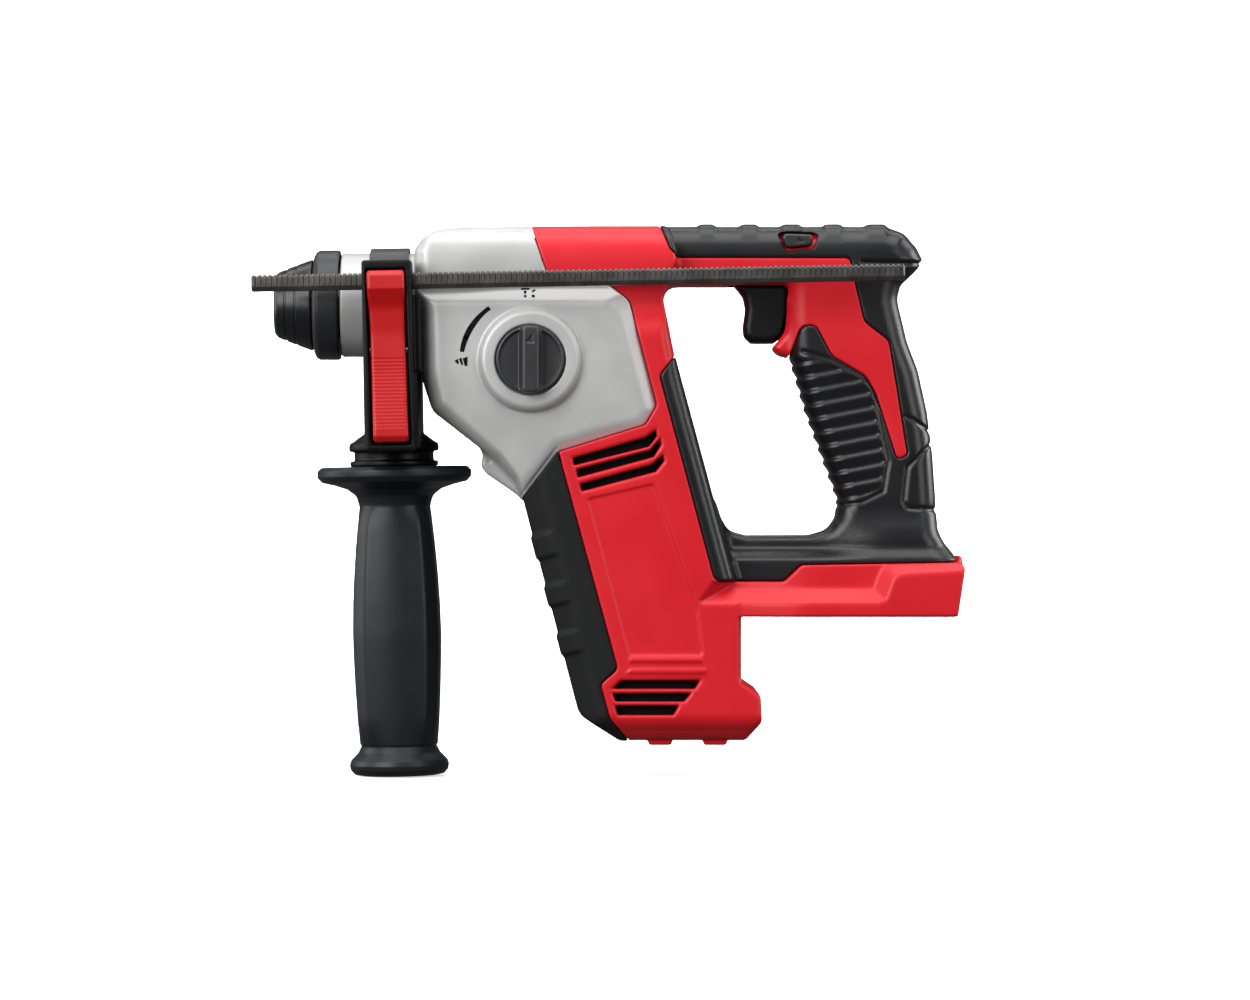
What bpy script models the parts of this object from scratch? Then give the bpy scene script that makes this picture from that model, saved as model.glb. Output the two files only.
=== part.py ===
"""Cordless rotary hammer, bare tool with side handle and depth rod.

Frame: metres, +Z up.  The nose points to -X, the D-handle is at +X and the
tool's mid-plane is y = 0.  The origin is the middle of the battery seat, the
flat underside of the terminal block in the foot.

Side-view coordinates (u, v) are units of a side elevation drawn from a
station VIEW metres away on the -Y side: u to the rear, v downwards.
"""
import math

import bmesh
import bpy
from mathutils import Matrix, Vector

# ------------------------------------------------------------------ dimensions
DU = 0.4147              # mm per drawing unit, from the 43 mm nose collar
VIEW = 2000.0            # mm, station of the side elevation
CU, CV = 625.0, 500.0    # drawing point straight in front of the station
AXIS_V = 305.2           # drive axis in the drawing
GAP = 0.3                # clearance between touching pieces, mm
HALF_GAP = 0.15          # half the joint between the two clamshells, mm

HW_BODY = 33.5           # half widths, mm
HW_GRIP = 17.0
HW_BAR = 24.0
HW_FOOT = 37.0
R_BARREL = 31.8          # hammer barrel, above the drive axis
SKIN = 2.0               # overmould thickness
WALL = 4.8               # overmould plus plastic wall
CASE_WALL = 3.2          # cast gear case wall
MOTOR_LEAN = math.radians(13.5)
TILT = math.radians(1.0)  # seat of the side handle on the drafted collar

COLLAR_R = 21.6          # 43.2 mm clamping collar
SLEEVE_R = 22.7
ROD_Y, ROD_R = -38.5, 3.4
BIT_BORE_R = 5.1         # 10 mm shank
SHAFT_DROP = 27.0        # countershaft below the drive axis

MM = 0.001


def xz(u, v, y=0.0):
    f = (VIEW + y) / VIEW
    return ((u - CU) * f - 224.0) * DU, ((CV - v) * f + 115.0) * DU - 3.0


AXIS_Z = xz(CU, AXIS_V)[1]
SHAFT_Z = AXIS_Z - SHAFT_DROP
APEX_X = xz(582.5, 0)[0]

# ------------------------------------------------------------------ collections
for ob in list(bpy.data.objects):
    bpy.data.objects.remove(ob, do_unlink=True)
for co in list(bpy.data.collections):
    bpy.data.collections.remove(co)
PARTS = bpy.data.collections.new("rotary_hammer")
CUT = bpy.data.collections.new("cutters")
bpy.context.scene.collection.children.link(PARTS)
bpy.context.scene.collection.children.link(CUT)


def material(name, rgb, rough, metal):
    m = bpy.data.materials.new(name)
    m.use_nodes = True
    b = m.node_tree.nodes["Principled BSDF"]
    b.inputs["Base Color"].default_value = (*rgb, 1)
    b.inputs["Roughness"].default_value = rough
    b.inputs["Metallic"].default_value = metal
    m.diffuse_color = (*rgb, 1)
    return m


RED = ("red_plastic", (0.58, 0.015, 0.02), 0.42, 0.0)
BLACK = ("black_rubber", (0.02, 0.02, 0.022), 0.6, 0.0)
NYLON = ("black_nylon", (0.03, 0.03, 0.033), 0.45, 0.0)
CAST = ("cast_aluminium", (0.55, 0.55, 0.55), 0.45, 0.9)
STEEL = ("steel", (0.45, 0.45, 0.46), 0.3, 1.0)
DARK = ("dark_steel", (0.08, 0.08, 0.085), 0.4, 1.0)
COPPER = ("copper", (0.72, 0.36, 0.2), 0.35, 1.0)
BRASS = ("brass", (0.7, 0.52, 0.22), 0.35, 1.0)


# ------------------------------------------------------------------ tools (mm)
def link(name, mesh, coll=CUT):
    ob = bpy.data.objects.new(name, mesh)
    coll.objects.link(ob)
    return ob


def baked(ob, turn_out=True):
    """Replace an object by a mesh object holding its evaluated shape."""
    bpy.context.view_layer.update()
    dg = bpy.context.evaluated_depsgraph_get()
    me = bpy.data.meshes.new_from_object(ob.evaluated_get(dg))
    me.transform(ob.matrix_world)
    bm = bmesh.new()
    bm.from_mesh(me)
    bmesh.ops.remove_doubles(bm, verts=bm.verts, dist=1e-6)
    if turn_out:
        bmesh.ops.recalc_face_normals(bm, faces=bm.faces)
    bm.to_mesh(me)
    bm.free()
    name = ob.name
    bpy.data.objects.remove(ob, do_unlink=True)
    return link(name, me)


def area(pts):
    return 0.5 * sum(p[0] * q[1] - q[0] * p[1]
                     for p, q in zip(pts, pts[1:] + pts[:1]))


def ccw(pts):
    return pts if area(pts) > 0 else pts[::-1]


def offset(pts, d):
    """Move every edge of an outline inwards by d (outwards if negative)."""
    pts = ccw(pts)
    n = len(pts)
    out = []
    for i in range(n):
        a, p, b = pts[i - 1], pts[i], pts[(i + 1) % n]
        e1 = Vector((p[0] - a[0], p[1] - a[1])).normalized()
        e2 = Vector((b[0] - p[0], b[1] - p[1])).normalized()
        n1, n2 = Vector((-e1.y, e1.x)), Vector((-e2.y, e2.x))
        k = d / max(0.25, 1 + n1.dot(n2))
        turn = e1.x * e2.y - e1.y * e2.x
        r = p[2] - d if turn > 0 else p[2] + d
        out.append((p[0] + (n1.x + n2.x) * k, p[1] + (n1.y + n2.y) * k,
                    max(r, 0.0) if p[2] > 0 else 0.0))
    return out


def fillet(pts, seg=2, even=False):
    """Round the corners of an outline of (x, z, radius) points.  With even
    set, every corner gives seg + 1 points, so that outlines can be lofted."""
    n = len(pts)
    out = []
    for i in range(n):
        a, p, b = (Vector(q[:2]) for q in (pts[i - 1], pts[i], pts[(i + 1) % n]))
        r = pts[i][2]
        e1, e2 = a - p, b - p
        l1, l2 = e1.length, e2.length
        e1.normalize()
        e2.normalize()
        half = math.acos(max(-1, min(1, e1.dot(e2)))) / 2
        if (r < 0.05 or half > math.radians(88)) and not even:
            out.append((p.x, p.y))
            continue
        if half > math.radians(88):
            out += [(p.x, p.y)] * (seg + 1)
            continue
        t = min(r / math.tan(half), 0.46 * l1, 0.46 * l2)
        r = t * math.tan(half)
        c = p + (e1 + e2).normalized() * (r / math.sin(half))
        if r < 0.02:
            out += [(p.x, p.y)] * (seg + 1)
            continue
        s, f = p + e1 * t - c, p + e2 * t - c
        sweep = math.atan2(s.x * f.y - s.y * f.x, s.dot(f))
        for k in range(seg + 1):
            g = sweep * k / seg
            out.append((c.x + s.x * math.cos(g) - s.y * math.sin(g),
                        c.y + s.x * math.sin(g) + s.y * math.cos(g)))
    return out


def drawn(pts, y=0.0):
    """Drawing points (u, v, radius[, depth]) to outline points in mm."""
    return [(*xz(p[0], p[1], p[3] if len(p) > 3 else y), p[2]) for p in pts]


def prism(name, loops, y0, y1, holes=()):
    """Extrude outlines in the XZ plane from y0 to y1."""
    cu = bpy.data.curves.new(name, "CURVE")
    cu.dimensions = "2D"
    cu.fill_mode = "BOTH"
    cu.extrude = abs(y1 - y0) / 2 * MM
    for loop in [loops, *holes]:
        sp = cu.splines.new("POLY")
        sp.points.add(len(loop) - 1)
        for q, p in zip(sp.points, loop):
            q.co = (p[0] * MM, p[1] * MM, 0, 1)
        sp.use_cyclic_u = True
    ob = link(name, cu)
    ob.rotation_euler = (math.pi / 2, 0, 0)
    ob.location = (0, (y0 + y1) / 2 * MM, 0)
    return baked(ob)


def pillow(name, pts, hw, rim, seg=2, corner=2):
    """Outline of (x, z, radius) points as a slab of half width hw whose rims
    are rounded: a loft through outlines that shrink towards both faces."""
    steps = [(rim * (1 - math.cos(math.pi / 2 * k / seg)),
              hw - rim * (1 - math.sin(math.pi / 2 * k / seg))) for k in range(seg + 1)]
    levels = [(i, -y) for i, y in steps[::-1]] + steps
    bm = bmesh.new()
    rows = []
    for inset, y in levels:
        loop = fillet(offset(pts, inset), corner, even=True)
        rows.append([bm.verts.new((x * MM, y * MM, z * MM)) for x, z in loop])
    n = len(rows[0])
    for a, b in zip(rows, rows[1:]):
        for k in range(n):
            bm.faces.new((a[k], a[(k + 1) % n], b[(k + 1) % n], b[k]))
    bm.faces.new(rows[0][::-1])
    bm.faces.new(rows[-1])
    bmesh.ops.remove_doubles(bm, verts=bm.verts, dist=1e-5)
    bmesh.ops.dissolve_degenerate(bm, edges=bm.edges, dist=1e-6)
    bmesh.ops.recalc_face_normals(bm, faces=bm.faces)
    me = bpy.data.meshes.new(name)
    bm.to_mesh(me)
    bm.free()
    return link(name, me)


def prism_x(name, loop, x0, x1, holes=()):
    """Extrude an outline of (y, z) points along X."""
    ob = prism(name, loop, -x1, -x0, holes=holes)
    ob.data.transform(Matrix.Rotation(math.pi / 2, 4, "Z"))
    return ob


def box(name, x0, x1, y0, y1, z0, z1):
    me = bpy.data.meshes.new(name)
    bm = bmesh.new()
    bmesh.ops.create_cube(bm, size=1.0, matrix=Matrix.Translation(
        Vector((x0 + x1, y0 + y1, z0 + z1)) * (MM / 2)) @ Matrix.Diagonal(
        ((x1 - x0) * MM, (y1 - y0) * MM, (z1 - z0) * MM, 1)))
    bm.to_mesh(me)
    bm.free()
    return link(name, me)


def cyl(name, p, q, r, seg=20, r2=None):
    p, q = Vector(p) * MM, Vector(q) * MM
    me = bpy.data.meshes.new(name)
    bm = bmesh.new()
    m = Matrix.Translation((p + q) / 2) @ (q - p).to_track_quat("Z", "Y").to_matrix().to_4x4()
    bmesh.ops.create_cone(bm, cap_ends=True, segments=seg, radius1=r * MM,
                          radius2=(r if r2 is None else r2) * MM,
                          depth=(q - p).length, matrix=m)
    bm.to_mesh(me)
    bm.free()
    return link(name, me)


def sphere(name, c, r, seg=14):
    me = bpy.data.meshes.new(name)
    bm = bmesh.new()
    bmesh.ops.create_uvsphere(bm, u_segments=seg, v_segments=seg // 2,
                              radius=r * MM,
                              matrix=Matrix.Translation(Vector(c) * MM))
    bm.to_mesh(me)
    bm.free()
    return link(name, me)


def axis_x(z):
    """Local +Z of a turned piece laid along +X at height z."""
    return Matrix.Translation((0, 0, z * MM)) @ Matrix.Rotation(math.pi / 2, 4, "Y")


def axis_motor(t0=0.0):
    """Local +Z of a turned piece laid down the motor axis from the apex."""
    return (Matrix.Translation((APEX_X * MM, 0, SHAFT_Z * MM))
            @ Matrix.Rotation(math.pi - MOTOR_LEAN, 4, "Y")
            @ Matrix.Translation((0, 0, t0 * MM)))


def turned(name, profile, frame, steps=24, closed=True):
    """Turn a profile of (along, radius) points about the frame's Z axis."""
    me = bpy.data.meshes.new(name)
    bm = bmesh.new()
    vs = [bm.verts.new((r * MM, 0, t * MM)) for t, r in profile]
    for a, b in zip(vs, vs[1:] + (vs[:1] if closed else [])):
        bm.edges.new((a, b))
    bm.to_mesh(me)
    bm.free()
    ob = link(name, me)
    sc = ob.modifiers.new("turn", "SCREW")
    sc.steps = sc.render_steps = steps
    sc.use_merge_vertices = True
    sc.merge_threshold = 1e-6
    ob.matrix_world = frame
    return baked(ob)


def ring(name, t0, t1, r0, r1, frame, steps=24):
    return turned(name, [(t0, r0), (t0, r1), (t1, r1), (t1, r0)], frame, steps)


def toothed(name, teeth, root, tip, t0, t1, frame, shrink=1.0, duty=0.40, phase=0.0):
    """Gear body with straight-sided teeth; the far end is scaled by shrink."""
    loop = []
    for k in range(teeth):
        a = 2 * math.pi * (k + phase) / teeth
        w = math.pi / teeth
        for r, da in ((root, -w * (duty + 0.30)), (tip, -w * duty * 0.55),
                      (tip, w * duty * 0.55), (root, w * (duty + 0.30))):
            loop.append((r * math.cos(a + da), r * math.sin(a + da)))
    me = bpy.data.meshes.new(name)
    bm = bmesh.new()
    face = bm.faces.new([bm.verts.new((x * MM, y * MM, t0 * MM)) for x, y in loop])
    ext = bmesh.ops.extrude_face_region(bm, geom=[face])
    for v in ext["geom"]:
        if isinstance(v, bmesh.types.BMVert):
            v.co = Vector((v.co.x * shrink, v.co.y * shrink, t1 * MM))
    bmesh.ops.recalc_face_normals(bm, faces=bm.faces)
    bm.to_mesh(me)
    bm.free()
    me.transform(frame)
    return link(name, me)


def coil(name, p, q, r, wire, turns, seg=9):
    """Compression spring between two points."""
    p, q = Vector(p) * MM, Vector(q) * MM
    fr = Matrix.Translation(p) @ (q - p).to_track_quat("Z", "Y").to_matrix().to_4x4()
    cu = bpy.data.curves.new(name, "CURVE")
    cu.dimensions = "3D"
    cu.bevel_depth = wire * MM
    cu.bevel_resolution = 0
    cu.use_fill_caps = True
    sp = cu.splines.new("POLY")
    n = int(turns * seg) + 1
    sp.points.add(n - 1)
    length = (q - p).length - 2 * wire * MM
    for k in range(n):
        a = 2 * math.pi * k / seg
        c = fr @ Vector((r * MM * math.cos(a), r * MM * math.sin(a),
                         wire * MM + length * k / (n - 1)))
        sp.points[k].co = (*c, 1)
    return baked(link(name, cu))


def boolean(a, b, op="DIFFERENCE", keep=False):
    md = a.modifiers.new("cut", "BOOLEAN")
    md.operation = op
    md.solver = "EXACT"
    md.object = b
    name = a.name
    out = baked(a, turn_out=False)
    out.name = name
    if not keep:
        bpy.data.objects.remove(b, do_unlink=True)
    return out


def minus(a, *bs):
    for b in bs:
        a = boolean(a, b)
    return a


def plus(a, *bs):
    for b in bs:
        a = boolean(a, b, "UNION")
    return a


def common(a, b, keep=False):
    return boolean(a, b, "INTERSECT", keep)


def copy(ob, mirror=False):
    me = ob.data.copy()
    if mirror:
        me.transform(Matrix.Diagonal((1, -1, 1, 1)))
        me.flip_normals()
    return link(ob.name + "_copy", me)


PIVOTS = {}


def pivot(body, pos):
    e = bpy.data.objects.new("axis_" + body, None)
    e.empty_display_size = 0.01
    e.location = Vector(pos) * MM
    PARTS.objects.link(e)
    PIVOTS[body] = e
    return e


def done(ob, name, mat, body=None, smooth=32):
    """Name a finished piece, give it its material and hang it on its axis."""
    me = ob.data
    bm = bmesh.new()
    bm.from_mesh(me)
    bmesh.ops.remove_doubles(bm, verts=bm.verts, dist=2e-6)
    bmesh.ops.dissolve_degenerate(bm, edges=bm.edges, dist=2e-6)
    bm.to_mesh(me)
    bm.free()
    if body:
        e = PIVOTS[body]
        me.transform(Matrix.Translation(-e.location))
        ob.parent = e
    CUT.objects.unlink(ob)
    PARTS.objects.link(ob)
    ob.name = name
    me.name = name
    me.materials.clear()
    me.materials.append(material(name + "_" + mat[0], *mat[1:]))
    me.shade_smooth()
    me.set_sharp_from_angle(angle=math.radians(smooth))
    return ob


# ------------------------------------------------------------------ outlines
# each point: u, v, corner radius in mm, depth at which its edge is seen
BODY = [(417, 252, 0, 0), (434, 232.5, 4, 0), (531, 228.4, 0, 0),
        (602, 226.6, 0, 0), (668, 226.6, 5, 0), (676, 262, 8, -8),
        (663, 299, 8, -20), (675, 358, 20, -25), (735, 580, 0, -25),
        (741, 600, 0, -27), (741, 681, 3, -27), (760.5, 694, 4, -27),
        (762, 722, 4, -27), (746, 741, 3, -27), (620, 741, 5, -27),
        (579.5, 714, 8, -27), (524, 500, 3, -25), (482, 449.5, 0, -25),
        (433, 411, 8, -20), (423, 378, 20, -12), (417.5, 300, 0, 0)]
GRIP = [(630, 228.4, 0, 0), (888, 228.4, 8, 0), (913, 243, 9, -4),
        (924.5, 262.5, 3, -6), (897.5, 288, 9, -8), (896, 308, 14, -8),
        (906, 342, 0, -8), (917, 371, 0, -8), (926, 412, 0, -8),
        (931.5, 455, 0, -8), (934.5, 500, 0, -8), (934.5, 575, 0, -8),
        (842, 575, 0, -8), (839, 500, 6, -8), (806, 410, 0, -8),
        (791, 358, 0, -8), (788, 318, 4, -8), (787.5, 286, 2, -8),
        (630, 286, 0, -8)]
BAR = [(685, 512, 0, -12), (713, 512, 4, -12), (723, 524, 4, -12), (742, 535, 8, -12),
       (822, 534.8, 4, -12), (842, 515, 0, -12), (926, 515, 0, -12),
       (935, 530, 5, -12), (954, 553, 0, -16), (954, 600, 0, -16),
       (685, 600, 0, -16)]
FOOT = [(700, 582, 0, -34), (784, 582, 3, -34), (803, 563.5, 3, -34),
        (953, 560.5, 0, -34), (966.5, 566, 2.5, -34),
        (958, 616.9, 1, -35), (700, 616.9, 0, -35)]
SILVER = [(400, 205, 0, 0), (523.5, 205, 0, 0), (545.5, 269.3, 4, -27),
          (551, 284, 5, -31), (608, 284, 4, -32), (629, 300, 6, -33),
          (656.5, 405.5, 2, -33), (645.4, 424.5, 3, -33),
          (559.4, 451.2, 0, -33), (524, 498.8, 0, -30), (505, 525, 0, -30),
          (400, 525, 0, -30)]
BLACKS = [(650, 205, 0, 0), (659.7, 228.4, 0, 0), (670, 251, 3, -12),
          (677, 257.7, 3, -15), (850, 258, 2, -16), (855.5, 284, 8, -16),
          (864.5, 322, 6, -16), (889, 340.6, 6, -16), (897, 389, 0, -16),
          (907.5, 455, 2, -16), (897, 460, 2, -16), (876, 394, 8, -16),
          (866, 376, 8, -16), (832, 356, 8, -16), (815.5, 324.3, 4, -16),
          (801, 326.5, 4, -16), (792.5, 350, 2, -14), (780, 372, 0, -10),
          (750, 410, 0, -10), (690, 345, 0, -10), (674, 357, 2, -28),
          (659.5, 375.5, 3, -31), (714, 578, 4, -33), (719, 581.3, 0, -30),
          (784, 581.3, 3, -26), (801, 565, 3, -24), (952, 562, 0, -22),
          (956, 552, 0, -16), (1010, 545, 0, 0), (1010, 205, 0, 0)]
BUMPER = [(560.3, 453.5, 0, -33), (617.7, 669.3, 3, -33), (600.3, 684.5, 3, -33),
          (610, 719, 4, -32), (628, 740, 0, -28), (634, 775, 0, -28),
          (480, 775, 0, -28), (480, 560, 0, -28), (524, 501, 0, -28)]


def rounded(pts, d=0.0, y=0.0, seg=2):
    return fillet(offset(drawn(pts, y), d), seg)


def body_solid(d, seg=2, corner=2, arcs=14):
    b = pillow("body", offset(drawn(BODY), d), HW_BODY - d, max(6.0 - d, 0.9), seg, corner)
    arc = [((R_BARREL - d) * math.cos(math.pi * k / arcs),
            AXIS_Z + (R_BARREL - d) * math.sin(math.pi * k / arcs)) for k in range(arcs + 1)]
    tun = prism_x("tunnel", [(60, -120), (60, AXIS_Z - 1.2), *arc,
                             (-60, AXIS_Z - 1.2), (-60, -120)], -190, -20)
    return common(b, tun)


def grip_solid(d, seg=2, corner=2):
    g = pillow("grip", offset(drawn(GRIP), d), HW_GRIP - d, 7.5 - d, seg, corner)
    b = pillow("bar", offset(drawn(BAR), d), HW_BAR - d, 6.5 - d, seg, corner)
    return plus(g, b)


def foot_solid(d):
    return pillow("foot", offset(drawn(FOOT), d), HW_FOOT - d, max(2.2 - d, 0.3), 1)


def shape(d, seg=2, corner=2, arcs=14):
    return plus(body_solid(d, seg, corner, arcs), grip_solid(d, seg, corner), foot_solid(d))


def region(pts, d=0.0, y0=-60, y1=60):
    return prism("region", rounded(pts, d), y0, y1)


def left(ob):
    return minus(ob, box("half", -400, 300, -HALF_GAP, 80, -250, 250))


def right(ob):
    return minus(ob, box("half", -400, 300, -80, HALF_GAP, -250, 250))


# ------------------------------------------------------------------ shells
outer = shape(0.0)
inner = shape(SKIN)
skin = minus(copy(outer), inner)

mould = common(copy(skin), region(BLACKS))
# pocket that the trigger slides into, and the saddle of the direction shuttle
TRIG_Z0, TRIG_Z1 = xz(0, 343, -8)[1], xz(0, 285, -8)[1]
SHUT_X = xz(797.5, 0, -17)[0]
SHUT_Z = xz(0, 241, -17)[1]
SHUT = [(781, 234, 1.5, -17), (813.5, 235, 1.5, -17), (810, 245, 1.5, -17),
        (787, 247.5, 1.5, -17)]
SHUT_HOLE = [(777.5, 231.5, 1.5, -17), (818, 232, 1.5, -17),
             (813, 249, 1.5, -17), (785, 251, 1.5, -17)]
mould = minus(mould, region(SHUT_HOLE))

# moulded ribs across the top bar
for u in (706, 748, 790, 832, 875):
    x, z = xz(u, 228.4)
    rib = prism("rib", fillet([(x - 3.6, z - 1.2, 0), (x + 3.6, z - 1.2, 0),
                               (x + 3.0, z + 1.5, 0.8), (x - 3.0, z + 1.5, 0.8)], 1),
                -8.5, 8.5)
    mould = plus(mould, rib)
# screws: position, head seat height on the right half
SCREWS = [("1", 655, 728, 27.0), ("2", 746, 712, 27.0), ("3", 725, 640, 27.0),
          ("4", 930, 571, 30.0), ("5", 876, 350, 11.0), ("6", 905, 505, 11.0)]
mould_l = left(copy(mould))
mould_r = right(mould)
u, v, seat = SCREWS[5][1:]
sx, sz = xz(u, v, -20)
mould_r = minus(mould_r, cyl("sink", (sx, 5, sz), (sx, 60, sz), 3.9, 12))
done(mould_l, "handle_overmold_left", BLACK)
done(mould_r, "handle_overmold_right", BLACK)

bump = common(skin, region(BUMPER))
for k, (v0, v1) in enumerate(((537, 559), (587, 606), (634, 655))):
    def edge(v, out):
        w = (v - 500) / 214.0
        x, z = xz(524 + 55.5 * w, v, -26)
        return x + out, z
    rib = prism("rib", [edge(v0, 1.5), edge(v1, 1.5), edge(v1 - 3, -0.9),
                        edge(v0 + 3, -0.9)], -26, 26)
    bump = plus(bump, rib)
done(left(copy(bump)), "front_bumper_left", BLACK)
done(right(bump), "front_bumper_right", BLACK)

# red clamshell: full section where bare, set back under the overmould
core = shape(SKIN + GAP)
red = minus(outer, region(BLACKS, -GAP), region(BUMPER, -GAP))
red = plus(red, copy(core))
red = minus(red, region(SILVER, -GAP))
# hollow for the motor, wiring and switch
red = minus(red, shape(WALL, 1, 1, 8))


def slot(pts, y=-33):
    return prism("slot", rounded(pts, 0, y), -60, 60)


VENTS = [
    [(573, 458, 0), (645, 438, 0), (655.6, 430, 0), (656.7, 436, 0), (649, 446.5, 0), (574, 465, 0)],
    [(576.5, 470, 0), (650, 450.5, 0), (660, 439, 0), (661, 445, 0), (653.5, 457, 0), (577.6, 477, 0)],
    [(580, 484, 0), (651, 464.8, 0), (663, 455, 0), (664, 461, 0), (655.6, 471.5, 0), (582, 491, 0)],
    [(612, 688.7, 0), (621, 681, 0), (700, 680.6, 0), (694.7, 688.7, 0)],
    [(612.8, 694, 0), (691, 693.6, 0), (684, 701.4, 0), (616, 701.4, 0)],
    [(615, 706, 0), (678.6, 706, 0), (673.3, 714.9, 0), (618, 714.9, 0)]]
for v in VENTS:
    red = minus(red, slot(v))
# battery channel in the foot: an undercut slot between two rails
FX0, FX1 = xz(752, 0, -30)[0], xz(980, 0)[0]
red = minus(red, box("chan", FX0, FX1, -26.0, 26.0, -10, 9.0),
            box("chan", FX0, FX1, -31.0, 31.0, 2.0, 9.0))
# trigger mouth, shuttle window, access from grip to foot
red = minus(red, box("mouth", xz(740, 0)[0], xz(800, 0)[0], -9.6, 9.6, TRIG_Z0 - 0.4, TRIG_Z1 + 3.0))
red = minus(red, region(SHUT, -0.5))

# motor cradle ribs and rear bearing rib, moulded into the shells
def slab(t0, t1, keep_in, hole_r, steps=24):
    s = cyl("slab", (0, 0, t0), (0, 0, t1), 90, 8)
    s.data.transform(axis_motor())
    s = common(s, body_solid(keep_in))
    h = cyl("hole", (0, 0, t0 - 3), (0, 0, t1 + 3), hole_r, steps)
    h.data.transform(axis_motor())
    return minus(s, h)


ribs = []
for t0, t1, hr in ((64, 68, 24.4), (96, 100, 24.4), (119, 124, 8.3)):
    ribs.append(minus(slab(t0, t1, WALL - 0.9, hr), region(SILVER, -GAP)))
red = plus(red, *ribs)

# screw bosses
halves = []
for side in (-1, 1):
    h = left(copy(red)) if side < 0 else right(copy(red))
    for n, u, v, seat in SCREWS:
        x, z = xz(u, v, -20)
        lim = seat
        post = cyl("post", (x, side * HALF_GAP, z), (x, side * (lim + 2), z),
                   4.9 if side > 0 else 4.2, 10)
        h = plus(h, common(post, copy(core)))
        if side < 0:
            h = minus(h, cyl("hole", (x, 1, z), (x, -12.5, z), 1.95, 8))
        else:
            h = minus(h, cyl("hole", (x, -1, z), (x, 60, z), 2.1, 8),
                      cyl("sink", (x, seat - 3.3, z), (x, 60, z), 3.9, 12))
    halves.append(h)
for ob in (red, core):
    bpy.data.objects.remove(ob, do_unlink=True)
# red finger stop under the trigger, split with the shells
nubl = fillet(drawn([(772, 344.8, 1, -8), (793, 344.8, 0, -8), (791, 350, 0, -8),
                     (787.5, 354.5, 1.5, -8), (776, 350, 1, -8)]), 2)
hl = plus(halves[0], prism("nub", nubl, -9, -HALF_GAP))
hr = plus(halves[1], prism("nub", nubl, HALF_GAP, 9))
# feet under the motor housing
for u0, u1 in ((647, 673), (702, 728)):
    a, b = xz(u0, 740, -26), xz(u1, 745, -26)
    hl = plus(hl, box("pad", a[0], b[0], -23, -8, b[1], a[1] + 2.5))
    hr = plus(hr, box("pad", a[0], b[0], 8, 23, b[1], a[1] + 2.5))
done(hl, "housing_left", RED)
done(hr, "housing_right", RED)
for n, u, v, seat in SCREWS:
    x, z = xz(u, v, -20)
    s = plus(cyl("s", (x, -12.0, z), (x, seat - 2.0, z), 1.6, 8),
             cyl("h", (x, seat - 3.0, z), (x, seat - 0.4, z), 3.5, 12))
    s = minus(s, box("slot", x - 3, x + 3, seat - 1.3, seat + 1, z - 0.45, z + 0.45))
    done(s, "housing_screw_" + n, DARK)

# ------------------------------------------------------------------ gear case
SPINDLE = axis_x(AXIS_Z)
COUNTER = axis_x(SHAFT_Z)
DIAL_X, DIAL_Z = xz(530, 359.5, -38)
WOB_X = APEX_X - 15.3
X_FACE = xz(417, 0)[0]
X_COLLAR = xz(342, 0)[0]

case = common(body_solid(0.0), region(SILVER))
lug = prism("lug", fillet(drawn([(481.5, 467.5, 1), (482.5, 449.0, 0), (505, 449, 0),
                                 (532, 488, 0), (524, 499, 0), (486, 474, 1)], -10), 1), -12, 12)
case = plus(case, lug)
case = minus(case, body_solid(CASE_WALL, 1, 1, 10))
collar = turned("collar", [(X_COLLAR, 18.6), (X_COLLAR, 21.3), (-202.6, 21.3),
                           (-202.6, COLLAR_R), (-175.5, COLLAR_R), (-175.5, 12.0),
                           (-189.0, 12.0), (-189.0, 18.6)], SPINDLE, 28)
case = plus(case, collar)
case = minus(case, cyl("way", (-195, 0, AXIS_Z), (-170, 0, AXIS_Z), 16.2, 28))
# seat of the front countershaft bearing
boss = common(cyl("boss", (-178, 0, SHAFT_Z), (-166, 0, SHAFT_Z), 11, 16), body_solid(0.8, 1, 1, 10))
case = plus(case, boss)
case = minus(case, cyl("seat", (-171.1, 0, SHAFT_Z), (-160, 0, SHAFT_Z), 8.3, 16))
# raised ring round the mode knob
rim = turned("rim", [(-37.0, 11.0), (-37.0, 19.6), (-35.2, 21.1), (-31.6, 21.1), (-31.6, 11.0)],
             Matrix.Translation((DIAL_X * MM, 0, DIAL_Z * MM)) @ Matrix.Rotation(-math.pi / 2, 4, "X"), 28)
case = plus(case, rim)
case = minus(case, cyl("well", (DIAL_X, -34.4, DIAL_Z), (DIAL_X, -50, DIAL_Z), 15.1, 28),
             cyl("bore", (DIAL_X, -20, DIAL_Z), (DIAL_X, -50, DIAL_Z), 6.4, 14))
done(case, "gear_case", CAST)

plate = common(slab(26, 32, CASE_WALL + 1.3, 9.8, 18), region(SILVER, 0.4))
done(plate, "motor_plate", CAST)
arch = [(28.0 * math.cos(math.pi * k / 10), AXIS_Z + 28.0 * math.sin(math.pi * k / 10)) for k in range(11)]
bulk = prism_x("bulkhead", [(28.0, AXIS_Z - 38), *arch, (-28.0, AXIS_Z - 38)], -141.5, -138.5)
bulk = minus(bulk, cyl("h", (-145, 0, AXIS_Z), (-130, 0, AXIS_Z), 14.9, 24),
             cyl("h", (-145, 0, SHAFT_Z), (-130, 0, SHAFT_Z), 6.6, 14),
             box("h", -145, -130, -21.2, -16.8, SHAFT_Z - 5.5, SHAFT_Z + 11.5))
done(bulk, "inner_bulkhead", CAST)
carrier = prism_x("carrier", [(29.8, SHAFT_Z - 15), (29.8, SHAFT_Z + 14), (-29.8, SHAFT_Z + 14),
                              (-29.8, SHAFT_Z - 15)], APEX_X + 15.2, APEX_X + 20.0)
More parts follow.
